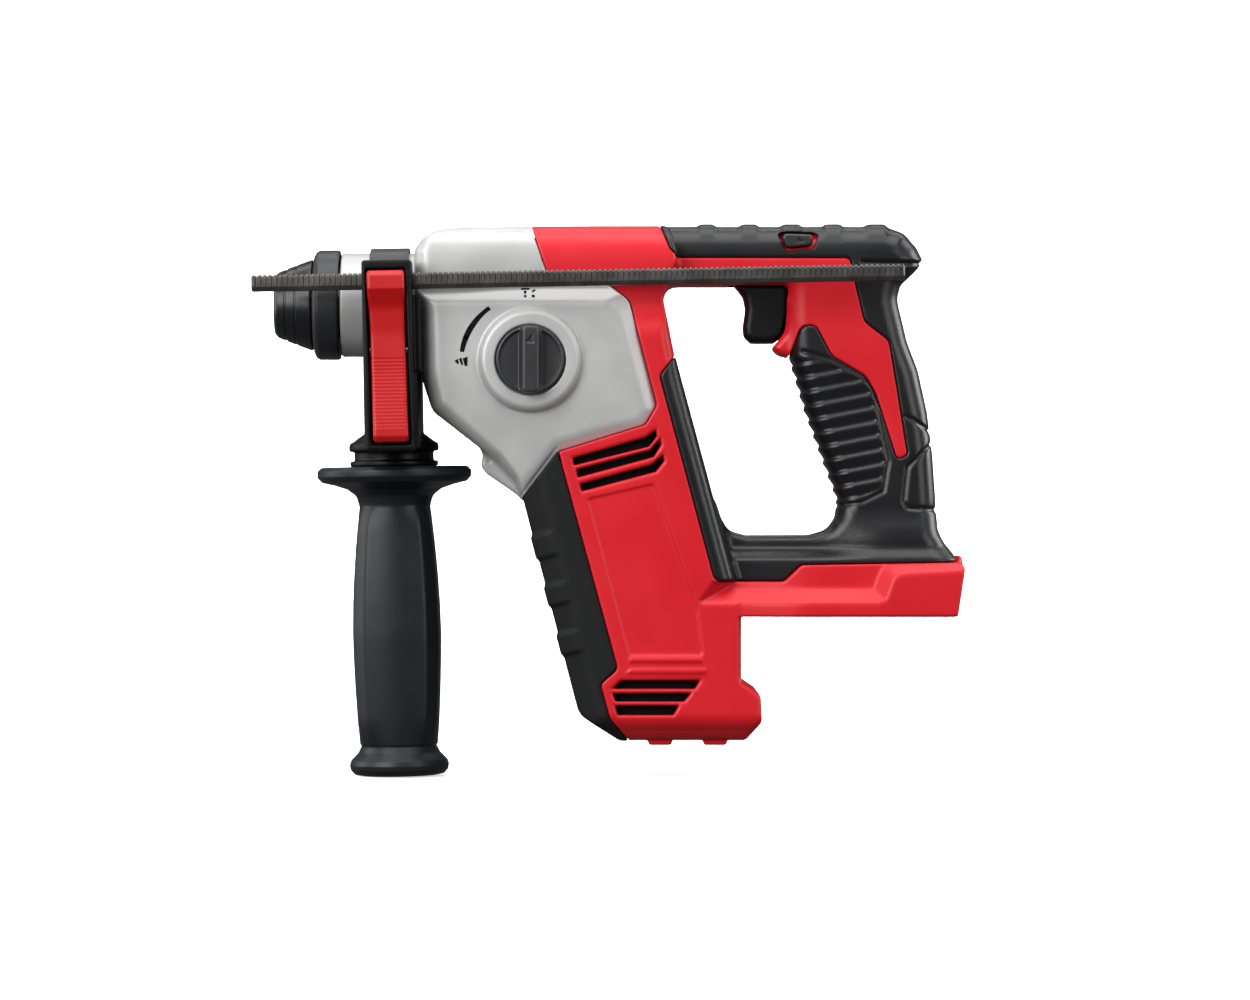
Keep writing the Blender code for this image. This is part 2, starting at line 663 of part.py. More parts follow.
carrier = minus(carrier, cyl("h", (-120, 0, SHAFT_Z), (-60, 0, SHAFT_Z), 8.8, 18))
done(carrier, "rear_bearing_carrier", CAST)

# ------------------------------------------------------------------ hammer train
pivot("spindle", (-180, 0, AXIS_Z))
pivot("sleeve", (-215, 0, AXIS_Z))
pivot("countershaft", (APEX_X, 0, SHAFT_Z))
pivot("clutch", (-148, 0, SHAFT_Z))
pivot("wobble", (WOB_X, 0, SHAFT_Z))
pivot("piston", (-150, 0, AXIS_Z))
pivot("striker", (-180, 0, AXIS_Z))
pivot("bolt", (-200, 0, AXIS_Z))
pivot("rotor", (APEX_X, 0, SHAFT_Z))
pivot("mode", (DIAL_X, -38, DIAL_Z))
pivot("fork", (-140, -19, SHAFT_Z))

sp = turned("spindle", [(-236, BIT_BORE_R), (-236, 11), (-205.5, 11), (-205.5, 15), (-165, 15),
                        (-165, 14.5), (-136, 14.5), (-136, 11.5), (-191, 11.5), (-191, 8.4),
                        (-214, 8.4), (-214, BIT_BORE_R)], SPINDLE, 24)
sp = minus(sp, cyl("hole", (-226, 0, AXIS_Z), (-226, 0, AXIS_Z + 20), 3.4, 12))
done(sp, "spindle", STEEL, "spindle")
done(sphere("ball", (-226, 0, AXIS_Z + 8.0), 3.0), "lock_ball", STEEL, "spindle")
SPUR_X0, SPUR_X1 = -163.8, -155.8
sg = toothed("gear", 40, 18.9, 20.75, SPUR_X0, SPUR_X1, SPINDLE)
sg = minus(sg, cyl("h", (-170, 0, AXIS_Z), (-150, 0, AXIS_Z), 14.85, 24))
done(sg, "spindle_gear", STEEL, "spindle")
cap = turned("cap", [(-237.8, 6.2), (-237.8, 12.2), (-236.6, 13.5), (-231, 15.8), (-222, 19.0),
                     (-222, 11.4), (-236.3, 11.4), (-236.3, 6.2)], SPINDLE, 24)
done(cap, "dust_cap", BLACK, "spindle")
done(ring("seal", -209.6, -206.0, 11.4, 18.3, SPINDLE), "oil_seal", BLACK)
done(ring("brg", -198.0, -189.4, 15.35, 18.3, SPINDLE), "spindle_bearing", STEEL)
sl = turned("sleeve", [(-221.5, 11.5), (-221.5, 20.2), (-219.6, SLEEVE_R), (-210.8, SLEEVE_R),
                       (-210.8, 21.75), (-219.2, 21.75), (-219.2, 11.5)], SPINDLE, 28)
done(sl, "chuck_sleeve", NYLON, "sleeve")
done(coil("spring", (-218.9, 0, AXIS_Z), (-209.9, 0, AXIS_Z), 15.5, 0.6, 4, 12), "sleeve_spring", STEEL)

cs = turned("shaft", [(-171, 0), (-171, 3), (-166, 3), (-166, 5), (APEX_X + 14.5, 5), (APEX_X + 14.5, 4),
                      (APEX_X + 20.6, 4), (APEX_X + 20.6, 0)], COUNTER, 16, closed=False)
cs = plus(cs, toothed("pinion", 14, 5.7, 7.75, SPUR_X0, SPUR_X1, COUNTER, phase=0.5))
done(cs, "countershaft", STEEL, "countershaft")
done(ring("brg", -170.8, -166.3, 3.35, 8.0, COUNTER, 16), "countershaft_bearing_front", STEEL)
done(ring("brg", APEX_X + 15.4, APEX_X + 19.8, 4.35, 8.5, COUNTER, 16), "countershaft_bearing_rear", STEEL)
hub = minus(sphere("hub", (WOB_X, 0, SHAFT_Z), 9.0, 16),
            cyl("h", (WOB_X - 15, 0, SHAFT_Z), (WOB_X + 15, 0, SHAFT_Z), 5.35, 16))
done(hub, "wobble_hub", STEEL, "countershaft")
BEVEL = Matrix.Translation((APEX_X * MM, 0, SHAFT_Z * MM)) @ Matrix.Rotation(math.pi / 2, 4, "Y")
bg = toothed("bevel", 35, 15.0, 19.2, 7.80, 4.95, BEVEL, shrink=0.635)
bg = plus(bg, cyl("boss", (APEX_X + 7.5, 0, SHAFT_Z), (APEX_X + 13.5, 0, SHAFT_Z), 11, 16))
bg = minus(bg, cyl("h", (APEX_X - 5, 0, SHAFT_Z), (APEX_X + 20, 0, SHAFT_Z), 5.35, 16))
done(bg, "bevel_gear", STEEL, "countershaft")
clutch = turned("clutch", [(-150.9, 5.35), (-150.9, 9.5), (-149.2, 9.5), (-149.2, 7.5), (-146.6, 7.5),
                           (-146.6, 9.5), (-144.9, 9.5), (-144.9, 5.35)], COUNTER, 16)
done(clutch, "mode_clutch", STEEL, "clutch")
wr = ring("ring", WOB_X - 4, WOB_X + 4, 9.45, 14.0, COUNTER, 20)
wr = plus(wr, cyl("finger", (WOB_X, 0, SHAFT_Z + 12.5), (WOB_X, 0, SHAFT_Z + 30), 2.6, 12))
done(wr, "wobble_ring", STEEL, "wobble")
pi = turned("piston", [(-163.5, 0), (-163.5, 11.1), (-141, 11.1), (-141, 0)], SPINDLE, 20, closed=False)
pi = plus(pi, box("lug", -142, -118, -6.5, 6.5, AXIS_Z - 7, AXIS_Z + 7))
pi = minus(pi, box("eye", WOB_X - 4.1, WOB_X + 4.1, -3.1, 3.1, AXIS_Z - 10, AXIS_Z + 4.4))
done(pi, "piston", STEEL, "piston")
done(turned("ram", [(-189.8, 0), (-189.8, 9.5), (-188.3, 11.1), (-172.2, 11.1), (-172.2, 0)],
            SPINDLE, 20, closed=False), "striker", STEEL, "striker")
done(turned("anvil", [(-210.5, 0), (-210.5, 5), (-207.5, 8), (-192, 8), (-192, 0)],
            SPINDLE, 18, closed=False), "impact_bolt", STEEL, "bolt")

# ------------------------------------------------------------------ motor
MOT = axis_motor()
ar = turned("armature", [(18.0, 0), (18.0, 2.3), (22, 2.3), (22, 4), (64, 4), (64, 14.4), (103, 14.4), (103, 4), (109.5, 4),
                         (109.5, 9), (117, 9), (117, 4), (118.6, 4), (118.6, 3), (125, 3), (125, 0)],
            MOT, 18, closed=False)
ar = plus(ar, toothed("pinion", 7, 2.5, 4.2, 18.84, 11.96, MOT, shrink=0.635))
done(ar, "armature", COPPER, "rotor")
fan = toothed("fan", 11, 12, 22.3, 38, 46, MOT, duty=0.25)
h = cyl("h", (0, 0, 30), (0, 0, 60), 4.35, 16)
h.data.transform(MOT)
done(minus(fan, h), "motor_fan", NYLON, "rotor")
done(ring("stator", 62, 104, 15.0, 24.0, MOT, 24), "motor_stator", DARK)
done(ring("brushes", 109, 117, 9.6, 22.5, MOT, 20), "brush_ring", NYLON)
done(ring("brg", 26.2, 31.8, 4.35, 9.5, MOT, 18), "motor_bearing_front", STEEL)
done(ring("brg", 119.3, 123.7, 3.35, 8.0, MOT, 16), "motor_bearing_rear", STEEL)

# ------------------------------------------------------------------ mode knob
KNOB = Matrix.Translation((DIAL_X * MM, 0, DIAL_Z * MM)) @ Matrix.Rotation(math.pi / 2, 4, "X")
kn = turned("knob", [(21.6, 0), (21.6, 6), (34.7, 6), (34.7, 14.4), (39.6, 14.4), (40.6, 13.2), (40.6, 0)],
            KNOB, 24, closed=False)
bar = prism("bar", fillet([(DIAL_X - 3.6, DIAL_Z - 12.2, 1.5), (DIAL_X + 3.6, DIAL_Z - 12.2, 1.5),
                           (DIAL_X + 3.0, DIAL_Z + 12.2, 1.2), (DIAL_X - 3.0, DIAL_Z + 12.2, 1.2)], 2), -45.0, -40.0)
kn = plus(kn, bar)
PIN_A = math.radians(45)
px, pz = DIAL_X + 3 * math.cos(PIN_A), DIAL_Z + 3 * math.sin(PIN_A)
kn = plus(kn, cyl("pin", (px, -22.5, pz), (px, -16.6, pz), 1.5, 10))
done(kn, "mode_knob", NYLON, "mode")
fk = box("fork", -152, -127, -20.3, -17.5, SHAFT_Z - 4.5, SHAFT_Z + 10)
fk = minus(fk, box("slot", px - 1.95, px + 1.95, -25, -10, DIAL_Z - 0.2, DIAL_Z + 5.4))
fk = plus(fk, box("tab", -148.9, -146.9, -19.0, -10.5, SHAFT_Z - 4.5, SHAFT_Z + 4.5))
horn = ring("horn", -148.9, -146.9, 7.9, 12.2, COUNTER, 20)
horn = minus(horn, box("cut", -160, -140, -3.0, 20, SHAFT_Z - 20, SHAFT_Z + 20))
fk = plus(fk, horn)
done(fk, "shift_fork", STEEL, "fork")

# ------------------------------------------------------------------ handle parts
pivot("trigger", (xz(760, 0)[0], 0, (TRIG_Z0 + TRIG_Z1) / 2))
pivot("shuttle", (SHUT_X, 0, SHUT_Z))
TRIG = [(733, 288, 1), (741, 294, 3), (745.3, 306, 4), (742, 326, 5), (742.5, 336, 3),
        (749, 342.3, 2), (772, 342.3, 1), (781, 328, 3), (786, 306, 4), (786.5, 288, 1)]
done(pillow("trigger", drawn(TRIG, -7), 9.1, 2.0, 2), "trigger", NYLON, "trigger")
sw0, sw1 = xz(805.5, 326, 0), xz(859, 262, 0)
done(box("switch", sw0[0], sw1[0], -10.5, 10.5, sw0[1], sw1[1]), "switch_module", NYLON)
tz = xz(0, 308)[1]
done(coil("spring", (xz(787.4, 0)[0], 0, tz), (xz(804.8, 0)[0], 0, tz), 3.4, 0.45, 4, 8), "trigger_spring", STEEL)
done(prism("shuttle", rounded(SHUT), -18.7, 18.7), "direction_shuttle", NYLON, "shuttle")

done(box("block", -24, 24, -17, 17, 0, 8.6), "terminal_block", NYLON)
for n, y in (("positive", -8), ("negative", 8)):
    done(box("blade", -37, -24.4, y - 0.4, y + 0.4, 1.2, 8.0), "contact_blade_" + n, BRASS)

# ------------------------------------------------------------------ side handle
SEAT = Vector((xz(391.5, 0)[0], 0, AXIS_Z))
HANDLE = Matrix.Translation(SEAT * MM) @ Matrix.Rotation(-TILT, 4, "Y")
ROD_Z = 8.5
LEVER_Y, LEVER_Z = -41.3, -20.0
for b, p in (("side_handle", (0, 0, 0)), ("band", (0, 0, -30)), ("grip", (0, 0, -67)),
             ("lever", (0, LEVER_Y, LEVER_Z)), ("rod", (0, ROD_Y, ROD_Z))):
    w = HANDLE @ (Vector(p) * MM)
    pivot(b, w / MM)


def placed(ob):
    ob.data.transform(HANDLE)
    return ob


cl = minus(box("saddle", -9.8, 9.2, -36, 21, -57.7, -14), cyl("c", (-30, 0, 0), (30, 0, 0), 22.3, 32))
cl = plus(cl, box("inside", -9.8, 9.2, -36, -25, -57.7, 16.5), box("tower", -9.8, 10.4, -46.5, -34, -57.7, 16.5))
cl = plus(cl, turned("base", [(-66.0, 0), (-66.0, 18.0), (-64.2, 18.2), (-63.2, 16.4), (-61.4, 16.4),
                              (-60.6, 18.2), (-57.2, 18.2), (-57.2, 0)], Matrix(), 24, closed=False))
cl = minus(cl, box("way", -4.5, 4.5, -24.7, 24.7, -34.2, -5),
           box("leg", -8.6, 8.6, -24.7, -21.3, -20, 30),
           box("well", -7.6, 8.6, -60, -42.6, -56.9, 13.0),
           box("well", -7.6, 8.6, -60, -38.0, -56.9, -14.0),
           cyl("rodway", (-30, ROD_Y, ROD_Z), (30, ROD_Y, ROD_Z), 3.85, 16),
           cyl("pinway", (-30, LEVER_Y, LEVER_Z), (30, LEVER_Y, LEVER_Z), 1.5, 10),
           cyl("boltway", (0, 0, -80), (0, 0, -20), 4.5, 16))
done(placed(cl), "clamp_body", NYLON, "side_handle")
top = lambda r: [(r * math.cos(math.pi * k / 14), r * math.sin(math.pi * k / 14)) for k in range(15)]
bd = prism_x("band", [(23.5, -29.5), *top(23.5), (-23.5, -29.5)], -8.1, 8.1,
             holes=[[(22.1, -26.2), *top(22.1), (-22.1, -26.2)]])
bd = minus(bd, box("n", 4.1, 12, -30, 30, -40, -4), box("n", -12, -4.1, -30, 30, -40, -4))
done(placed(bd), "clamp_band", STEEL, "band")
bo = plus(cyl("bolt", (0, 0, -100), (0, 0, -31), 4.0, 14), box("tee", -4.0, 4.0, -9, 9, -33.8, -29.9))
done(placed(bo), "clamp_bolt", STEEL, "band")
gr = turned("grip", [(-106, 0), (-106, 4.6), (-67.0, 4.6), (-67.0, 30.4), (-68.6, 31.9), (-71.4, 31.9),
                     (-73.3, 30.3), (-74.4, 24.5), (-76, 19.6), (-79, 16.2), (-83.3, 15.1), (-99.9, 17.0),
                     (-123, 18.45), (-136.4, 18.9), (-159.6, 18.2), (-172.9, 17.5), (-182.8, 16.6),
                     (-185.3, 17.4), (-188.6, 20.3), (-192, 20.4), (-194.2, 18.8), (-194.8, 16),
                     (-194.8, 0)], Matrix(), 24, closed=False)
gr = minus(gr, cyl("pocket", (0, 0, -88.6), (0, 0, -80.4), 7.7, 6))
done(placed(gr), "side_grip", NYLON, "grip")
nut = minus(cyl("nut", (0, 0, -88.3), (0, 0, -80.7), 7.2, 6), cyl("h", (0, 0, -95), (0, 0, -70), 4.3, 14))
done(placed(nut), "grip_nut", STEEL, "grip")
lv = prism_x("lever", [(-43.2, 12), (-47.6, 12), (-48.8, 10.5), (-48.8, 3), (-46.4, -2), (-45.8, -12),
                       (-46.6, -22), (-48.8, -27), (-49.8, -40), (-49.2, -52), (-47.8, -56.4),
                       (-44.6, -56.4), (-43.4, -48)], -7.2, 8.2)
lv = plus(lv, cyl("knuckle", (-7.2, LEVER_Y, LEVER_Z), (8.2, LEVER_Y, LEVER_Z), 2.9, 14))
lv = minus(lv, cyl("h", (-20, LEVER_Y, LEVER_Z), (20, LEVER_Y, LEVER_Z), 1.5, 10))
done(placed(lv), "rod_lever", RED, "lever")
done(placed(cyl("pin", (-9.7, LEVER_Y, LEVER_Z), (10.3, LEVER_Y, LEVER_Z), 1.15, 10)), "lever_pin", STEEL, "side_handle")
done(placed(coil("spring", (0.5, -38.2, -45), (0.5, -43.1, -45), 2.6, 0.45, 3, 8)), "lever_spring", STEEL, "side_handle")
done(placed(cyl("rod", (-54.9, ROD_Y, ROD_Z), (210.7, ROD_Y, ROD_Z), ROD_R, 12)), "depth_rod", DARK, "rod")

bpy.context.view_layer.update()
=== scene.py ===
"""Looks of the cordless rotary hammer: fine shells, grips and knobs round the
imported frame, with their materials, the studio light and the camera.

Lengths in this file are millimetres until a mesh is made.  Side-view points
(u, v) are units of a side elevation, as in the model's own drawing.
"""
import math

import bmesh
import bpy
import numpy as np
from mathutils import Matrix, Vector
from mathutils.bvhtree import BVHTree


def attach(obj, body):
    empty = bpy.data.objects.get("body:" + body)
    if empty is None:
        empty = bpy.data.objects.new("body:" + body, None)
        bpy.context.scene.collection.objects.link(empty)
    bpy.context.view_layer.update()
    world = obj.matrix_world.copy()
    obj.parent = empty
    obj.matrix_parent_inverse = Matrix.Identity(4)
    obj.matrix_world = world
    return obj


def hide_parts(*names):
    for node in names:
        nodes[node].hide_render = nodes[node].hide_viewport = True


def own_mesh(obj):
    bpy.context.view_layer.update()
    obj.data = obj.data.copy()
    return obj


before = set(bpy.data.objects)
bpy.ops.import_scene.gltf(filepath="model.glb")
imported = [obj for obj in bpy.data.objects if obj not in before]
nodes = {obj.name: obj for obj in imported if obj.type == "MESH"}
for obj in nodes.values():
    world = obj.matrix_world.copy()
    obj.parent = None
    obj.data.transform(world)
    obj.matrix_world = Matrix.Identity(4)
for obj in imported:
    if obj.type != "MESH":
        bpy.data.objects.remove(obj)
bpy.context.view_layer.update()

MM = 0.001
DU = 0.4147
VIEW = 2000.0
CU, CV = 625.0, 500.0
AXIS_V = 305.2
HW_BODY, HW_GRIP, HW_BAR, HW_FOOT = 33.5, 17.0, 24.0, 37.0
R_BARREL = 31.8
TILT = math.radians(1.0)


def xz(u, v, y=0.0):
    f = (VIEW + y) / VIEW
    return ((u - CU) * f - 224.0) * DU, ((CV - v) * f + 115.0) * DU - 3.0


AXIS_Z = xz(CU, AXIS_V)[1]
DIAL_X, DIAL_Z = xz(530, 359.5, -38)
SEAT = Vector((xz(391.5, 0)[0], 0, AXIS_Z))
HANDLE = Matrix.Translation(SEAT * MM) @ Matrix.Rotation(-TILT, 4, "Y")


# ------------------------------------------------------------------ outlines
def fillet(pts, seg=5):
    """Round the corners of an outline of (x, z, radius) points."""
    n = len(pts)
    out = []
    for i in range(n):
        a, p, b = (Vector(q[:2]) for q in (pts[i - 1], pts[i], pts[(i + 1) % n]))
        r = pts[i][2]
        e1, e2 = a - p, b - p
        l1, l2 = e1.length, e2.length
        e1.normalize()
        e2.normalize()
        half = math.acos(max(-1, min(1, e1.dot(e2)))) / 2
        if r < 0.05 or half > math.radians(88.5):
            out.append((p.x, p.y))
            continue
        t = min(r / math.tan(half), 0.46 * l1, 0.46 * l2)
        r = t * math.tan(half)
        c = p + (e1 + e2).normalized() * (r / math.sin(half))
        s, f = p + e1 * t - c, p + e2 * t - c
        sweep = math.atan2(s.x * f.y - s.y * f.x, s.dot(f))
        for k in range(seg + 1):
            g = sweep * k / seg
            out.append((c.x + s.x * math.cos(g) - s.y * math.sin(g),
                        c.y + s.x * math.sin(g) + s.y * math.cos(g)))
    return out


def drawn(pts, y=0.0, seg=5):
    """Drawing points (u, v, radius[, depth]) to a rounded outline in mm."""
    return fillet([(*xz(p[0], p[1], p[3] if len(p) > 3 else y), p[2]) for p in pts], seg)


BODY = [(417, 252, 4, 0), (424, 242.5, 5, 0), (435, 234, 7, 0), (452, 230.6, 8, 0), (531, 228.0, 0, 0),
        (602, 226.6, 0, 0), (668, 226.6, 5, 0), (676, 262, 8, -8),
        (663, 299, 8, -20), (675, 358, 20, -25), (735, 580, 0, -25),
        (741, 600, 0, -27), (741, 681, 3, -27), (760.5, 694, 4, -27),
        (762, 722, 4, -27), (746, 741, 3, -27), (620, 741, 5, -27),
        (579.5, 714, 8, -27), (524, 500, 3, -25), (482, 449.5, 0, -25),
        (433, 411, 8, -20), (423, 378, 20, -12), (417.5, 300, 0, 0)]
GRIP = [(630, 228.4, 0, 0), (884, 228.4, 8, 0), (903, 234.6, 8, -2), (916, 249.5, 8, -4),
        (922.3, 262.3, 2.0, -6), (912.5, 273.5, 6, -8), (899.5, 285.5, 6, -8), (896, 300, 10, -8),
        (906, 342, 0, -8), (917, 371, 0, -8), (926, 412, 0, -8),
        (931.5, 455, 0, -8), (934.5, 500, 0, -8), (934.5, 575, 0, -8),
        (842, 575, 0, -8), (839, 500, 6, -8), (806, 410, 0, -8),
        (791, 358, 0, -8), (788, 318, 4, -8), (787.5, 286, 2, -8),
        (630, 286, 0, -8)]
BAR = [(685, 500, 0, -12), (712, 500, 6, -12), (718.5, 519, 8, -12), (728, 531, 8, -12), (746, 536.2, 6, -12),
       (810, 536.0, 8, -12), (829, 530.5, 8, -12), (838, 517, 8, -12), (840, 500, 0, -12), (926, 500, 0, -12),
       (934.5, 515, 6, -12), (936.5, 530, 7, -12), (943.5, 543, 9, -14), (957, 559.5, 1.2, -16), (953, 567, 0, -16), (953, 600, 0, -16),
       (685, 600, 0, -16)]
LIP = [(940, 580, 0, -16), (944, 558, 0, -16), (952.5, 549.5, 2, -16), (958, 551.5, 3, -16), (962.4, 558, 3, -16), (962.8, 566, 1, -16), (960, 580, 0, -16)]
FOOT = [(700, 582, 0, -34), (784, 582, 3, -34), (803, 563.5, 3, -34),
        (953, 560.5, 0, -34), (965.6, 566, 2.5, -34),
        (958, 616.9, 1, -35), (700, 616.9, 0, -35)]
SILVER = [(400, 205, 0, 0), (523.5, 205, 0, 0), (545.5, 269.3, 4, -27),
          (551, 284, 5, -31), (608, 284, 4, -32), (629, 300, 6, -33),
          (656.5, 405.5, 2, -33), (645.4, 424.5, 3, -33),
          (559.4, 451.2, 0, -33), (524, 498.8, 0, -30), (505, 525, 0, -30),
          (400, 525, 0, -30)]
BLACKS = [(650, 205, 0, 0), (659.7, 228.4, 0, 0), (670, 251, 3, -12),
          (677, 257.7, 3, -15), (850, 258, 2, -16), (855.5, 284, 8, -16),
          (864.5, 322, 6, -16), (889, 340.6, 6, -16), (897, 389, 0, -16),
          (907.5, 455, 2, -16), (897, 460, 2, -16), (876, 394, 8, -16),
          (866, 376, 8, -16), (832, 356, 8, -16), (815.5, 324.3, 4, -16),
          (801, 326.5, 4, -16), (792.5, 350, 2, -14), (780, 372, 0, -10),
          (750, 410, 0, -10), (690, 345, 0, -10), (674, 357, 2, -28),
          (659.5, 375.5, 3, -31), (714, 578, 4, -33), (719, 581.3, 0, -30),
          (784, 581.3, 3, -26), (801, 565, 3, -24), (950, 562.5, 0, -22),
          (957.8, 562, 0, -18), (958.5, 556, 0, -16), (1010, 545, 0, 0), (1010, 205, 0, 0)]
BUMPER = [(557.6, 450.0, 0, -33), (617.7, 669.3, 3, -33), (600.3, 684.5, 3, -33),
          (610, 719, 4, -32), (628, 740, 0, -28), (634, 775, 0, -28),
          (480, 775, 0, -28), (480, 560, 0, -28), (521.2, 497.6, 0, -28)]
CASE = BODY[:18] + [(524, 500, 0, -25), (515, 481, 12, -25), (498, 461, 10, -25), (481, 448.5, 3, -25), (433, 411, 8, -20),
                    (423, 378, 20, -12), (421.5, 318, 4, 0), (417.5, 298, 4, 0)]
PANEL = [(400, 262, 0, -33), (604, 262, 0, -33), (606, 304, 10, -33), (619.5, 315, 5, -33), (645.5, 409, 2, -33),
         (638, 419, 3, -33), (553, 441, 0, -33), (519, 487, 0, -33), (478, 443, 6, -33),
         (440, 408, 10, -33), (400, 400, 0, -33)]
VENTS = [
    [(573, 458, 0), (645, 437.5, 1), (655.6, 430, 0), (656.7, 436.3, 0), (649, 446.5, 1), (574, 465.3, 0)],
    [(576.5, 469.5, 0), (650, 450.3, 1), (660, 439, 0), (661, 445, 0), (653.5, 457, 1), (577.8, 477.4, 0)],
    [(580, 484, 0), (651, 464.8, 1), (663, 455, 0), (664, 461, 0), (655.6, 471.8, 1), (582, 491.2, 0)],
    [(612, 688.9, 0), (621, 680.6, 0), (700, 680.4, 0), (694.7, 688.9, 0)],
    [(612.8, 693.6, 0), (691, 693.2, 0), (684, 701.6, 0), (616, 701.6, 0)],
    [(615, 705.8, 0), (678.6, 705.8, 0), (673.3, 715.2, 0), (618, 715.2, 0)]]
LOGO = [(588, 499, 1), (653.5, 484, 1), (697, 608, 4), (703, 655, 1), (629.6, 655, 1)]
BARS = [[(629.5, 657.5, 0), (702, 657.5, 0), (702.5, 662.3, 0), (630, 662.3, 0)],
        [(631, 668.6, 0), (707, 668.6, 0), (705.5, 673.6, 0), (626, 673.6, 0)]]
SHUT = [(781, 234, 1.5, -17), (813.5, 235, 1.5, -17), (810, 245, 1.5, -17), (787, 247.5, 1.5, -17)]
SHUT_HOLE = [(778.4, 234.4, 1, -17), (782, 231.8, 1, -17), (814, 232.4, 1, -17), (818.6, 235, 1, -17),
             (813.4, 248.4, 1, -17), (786.6, 251.2, 1, -17)]
PLATE = [(560, 560, 0, -34), (728, 560, 0, -34), (697.5, 604, 1, -34), (878, 604, 3, -36), (887, 600, 3, -36), (895, 577.5, 4, -36), (903, 575, 2, -36),
         (975, 571, 0, -36), (960, 640, 0, -36), (560, 640, 0, -34)]
NUB = [(802, 300, 0, -9), (788.8, 300, 0, -9), (788.3, 314, 4, -9), (786.5, 323.5, 4, -9), (783.7, 333, 4, -9), (779, 339.6, 4, -9),
       (773.3, 346.2, 1.5, -9), (773.3, 349.8, 1.5, -9), (779, 355, 3, -9), (788, 357, 0, -9), (802, 357, 0, -9)]
GRIP_PANEL = [(770, 345, 0, -12), (806, 352, 4, -12), (830, 359, 4, -12), (866.5, 379, 6, -12), (875, 394, 6, -12),
              (888, 461, 8, -12), (883, 491.6, 4, -12), (862, 502, 3, -12), (820, 506, 0, -12)]


# ------------------------------------------------------------------ fields
def smin(a, b, k):
    h = np.maximum(k - np.abs(a - b), 0) / k
    return np.minimum(a, b) - h * h * (k / 4)


def smax(a, b, k):
    h = np.maximum(k - np.abs(a - b), 0) / k
    return np.maximum(a, b) + h * h * (k / 4)


def ramp(t):
    t = np.clip(t, 0, 1)
    return t * t * (3 - 2 * t)


def rounded(a, b, r):
    """Meet of two half spaces whose common edge has radius r."""
    a, b = a + r, b + r
    return np.minimum(np.maximum(a, b), 0) + np.sqrt(np.maximum(a, 0) ** 2 + np.maximum(b, 0) ** 2) - r


def polygon(pts, p, q):
    """Signed distance to an outline, on a grid of p by q values."""
    p, q = np.meshgrid(p.ravel().astype(np.float32), q.ravel().astype(np.float32), indexing="ij")
    d = np.full(p.shape, 1e9, np.float32)
    s = np.zeros(p.shape, bool)
    for (ax, az), (bx, bz) in zip(pts, pts[1:] + pts[:1]):
        ex, ez = bx - ax, bz - az
        n = ex * ex + ez * ez
        if n < 1e-12:
            continue
        wx, wz = p - ax, q - az
        t = np.clip((wx * ex + wz * ez) / n, 0, 1)
        d = np.minimum(d, (wx - ex * t) ** 2 + (wz - ez * t) ** 2)
        if abs(ez) > 1e-9:
            s ^= ((az > q) != (bz > q)) & (p < ex * (q - az) / ez + ax)
    d = np.sqrt(d)
    return np.where(s, -d, d)


def strokes(lines, p, q):
    """Distance to open lines, on a grid of p by q values."""
    p, q = np.meshgrid(p.ravel().astype(np.float32), q.ravel().astype(np.float32), indexing="ij")
    d = np.full(p.shape, 1e9, np.float32)
    for pts in lines:
        for (ax, az), (bx, bz) in zip(pts, pts[1:]):
            ex, ez = bx - ax, bz - az
            wx, wz = p - ax, q - az
            t = np.clip((wx * ex + wz * ez) / (ex * ex + ez * ez), 0, 1)
            d = np.minimum(d, (wx - ex * t) ** 2 + (wz - ez * t) ** 2)
    return np.sqrt(d)


class Grid:
    def __init__(self, lo, hi, h):
        self.h, self.lo = h, np.array(lo, np.float64)
        ax = [(a + h * np.arange(int(math.ceil((b - a) / h)) + 1)).astype(np.float32) for a, b in zip(lo, hi)]
        self.x, self.y, self.z = ax[0][:, None, None], ax[1][None, :, None], ax[2][None, None, :]
        self.shape = tuple(len(a) for a in ax)
        self.ay = np.abs(self.y)

    def poly(self, pts):
        return polygon(pts, self.x, self.z)[:, None, :]

    def lines(self, lines):
        return strokes(lines, self.x, self.z)[:, None, :]

    def poly_yz(self, pts):
        return polygon(pts, self.y, self.z)[None, :, :]


def slab(d2, ay, hw, rim):
    return rounded(d2, ay - hw, rim)


def pick(f, p):
    """Trilinear values of a grid array at points given in cells."""
    i = np.clip(np.floor(p).astype(np.int32), 0, np.array(f.shape) - 2)
    t = (p - i).astype(np.float32)
    out = 0
    for dx in (0, 1):
        wx = t[:, 0] if dx else 1 - t[:, 0]
        for dy in (0, 1):
            wy = t[:, 1] if dy else 1 - t[:, 1]
            for dz in (0, 1):
                wz = t[:, 2] if dz else 1 - t[:, 2]
                out = out + f[i[:, 0] + dx, i[:, 1] + dy, i[:, 2] + dz] * (wx * wy * wz)
    return out


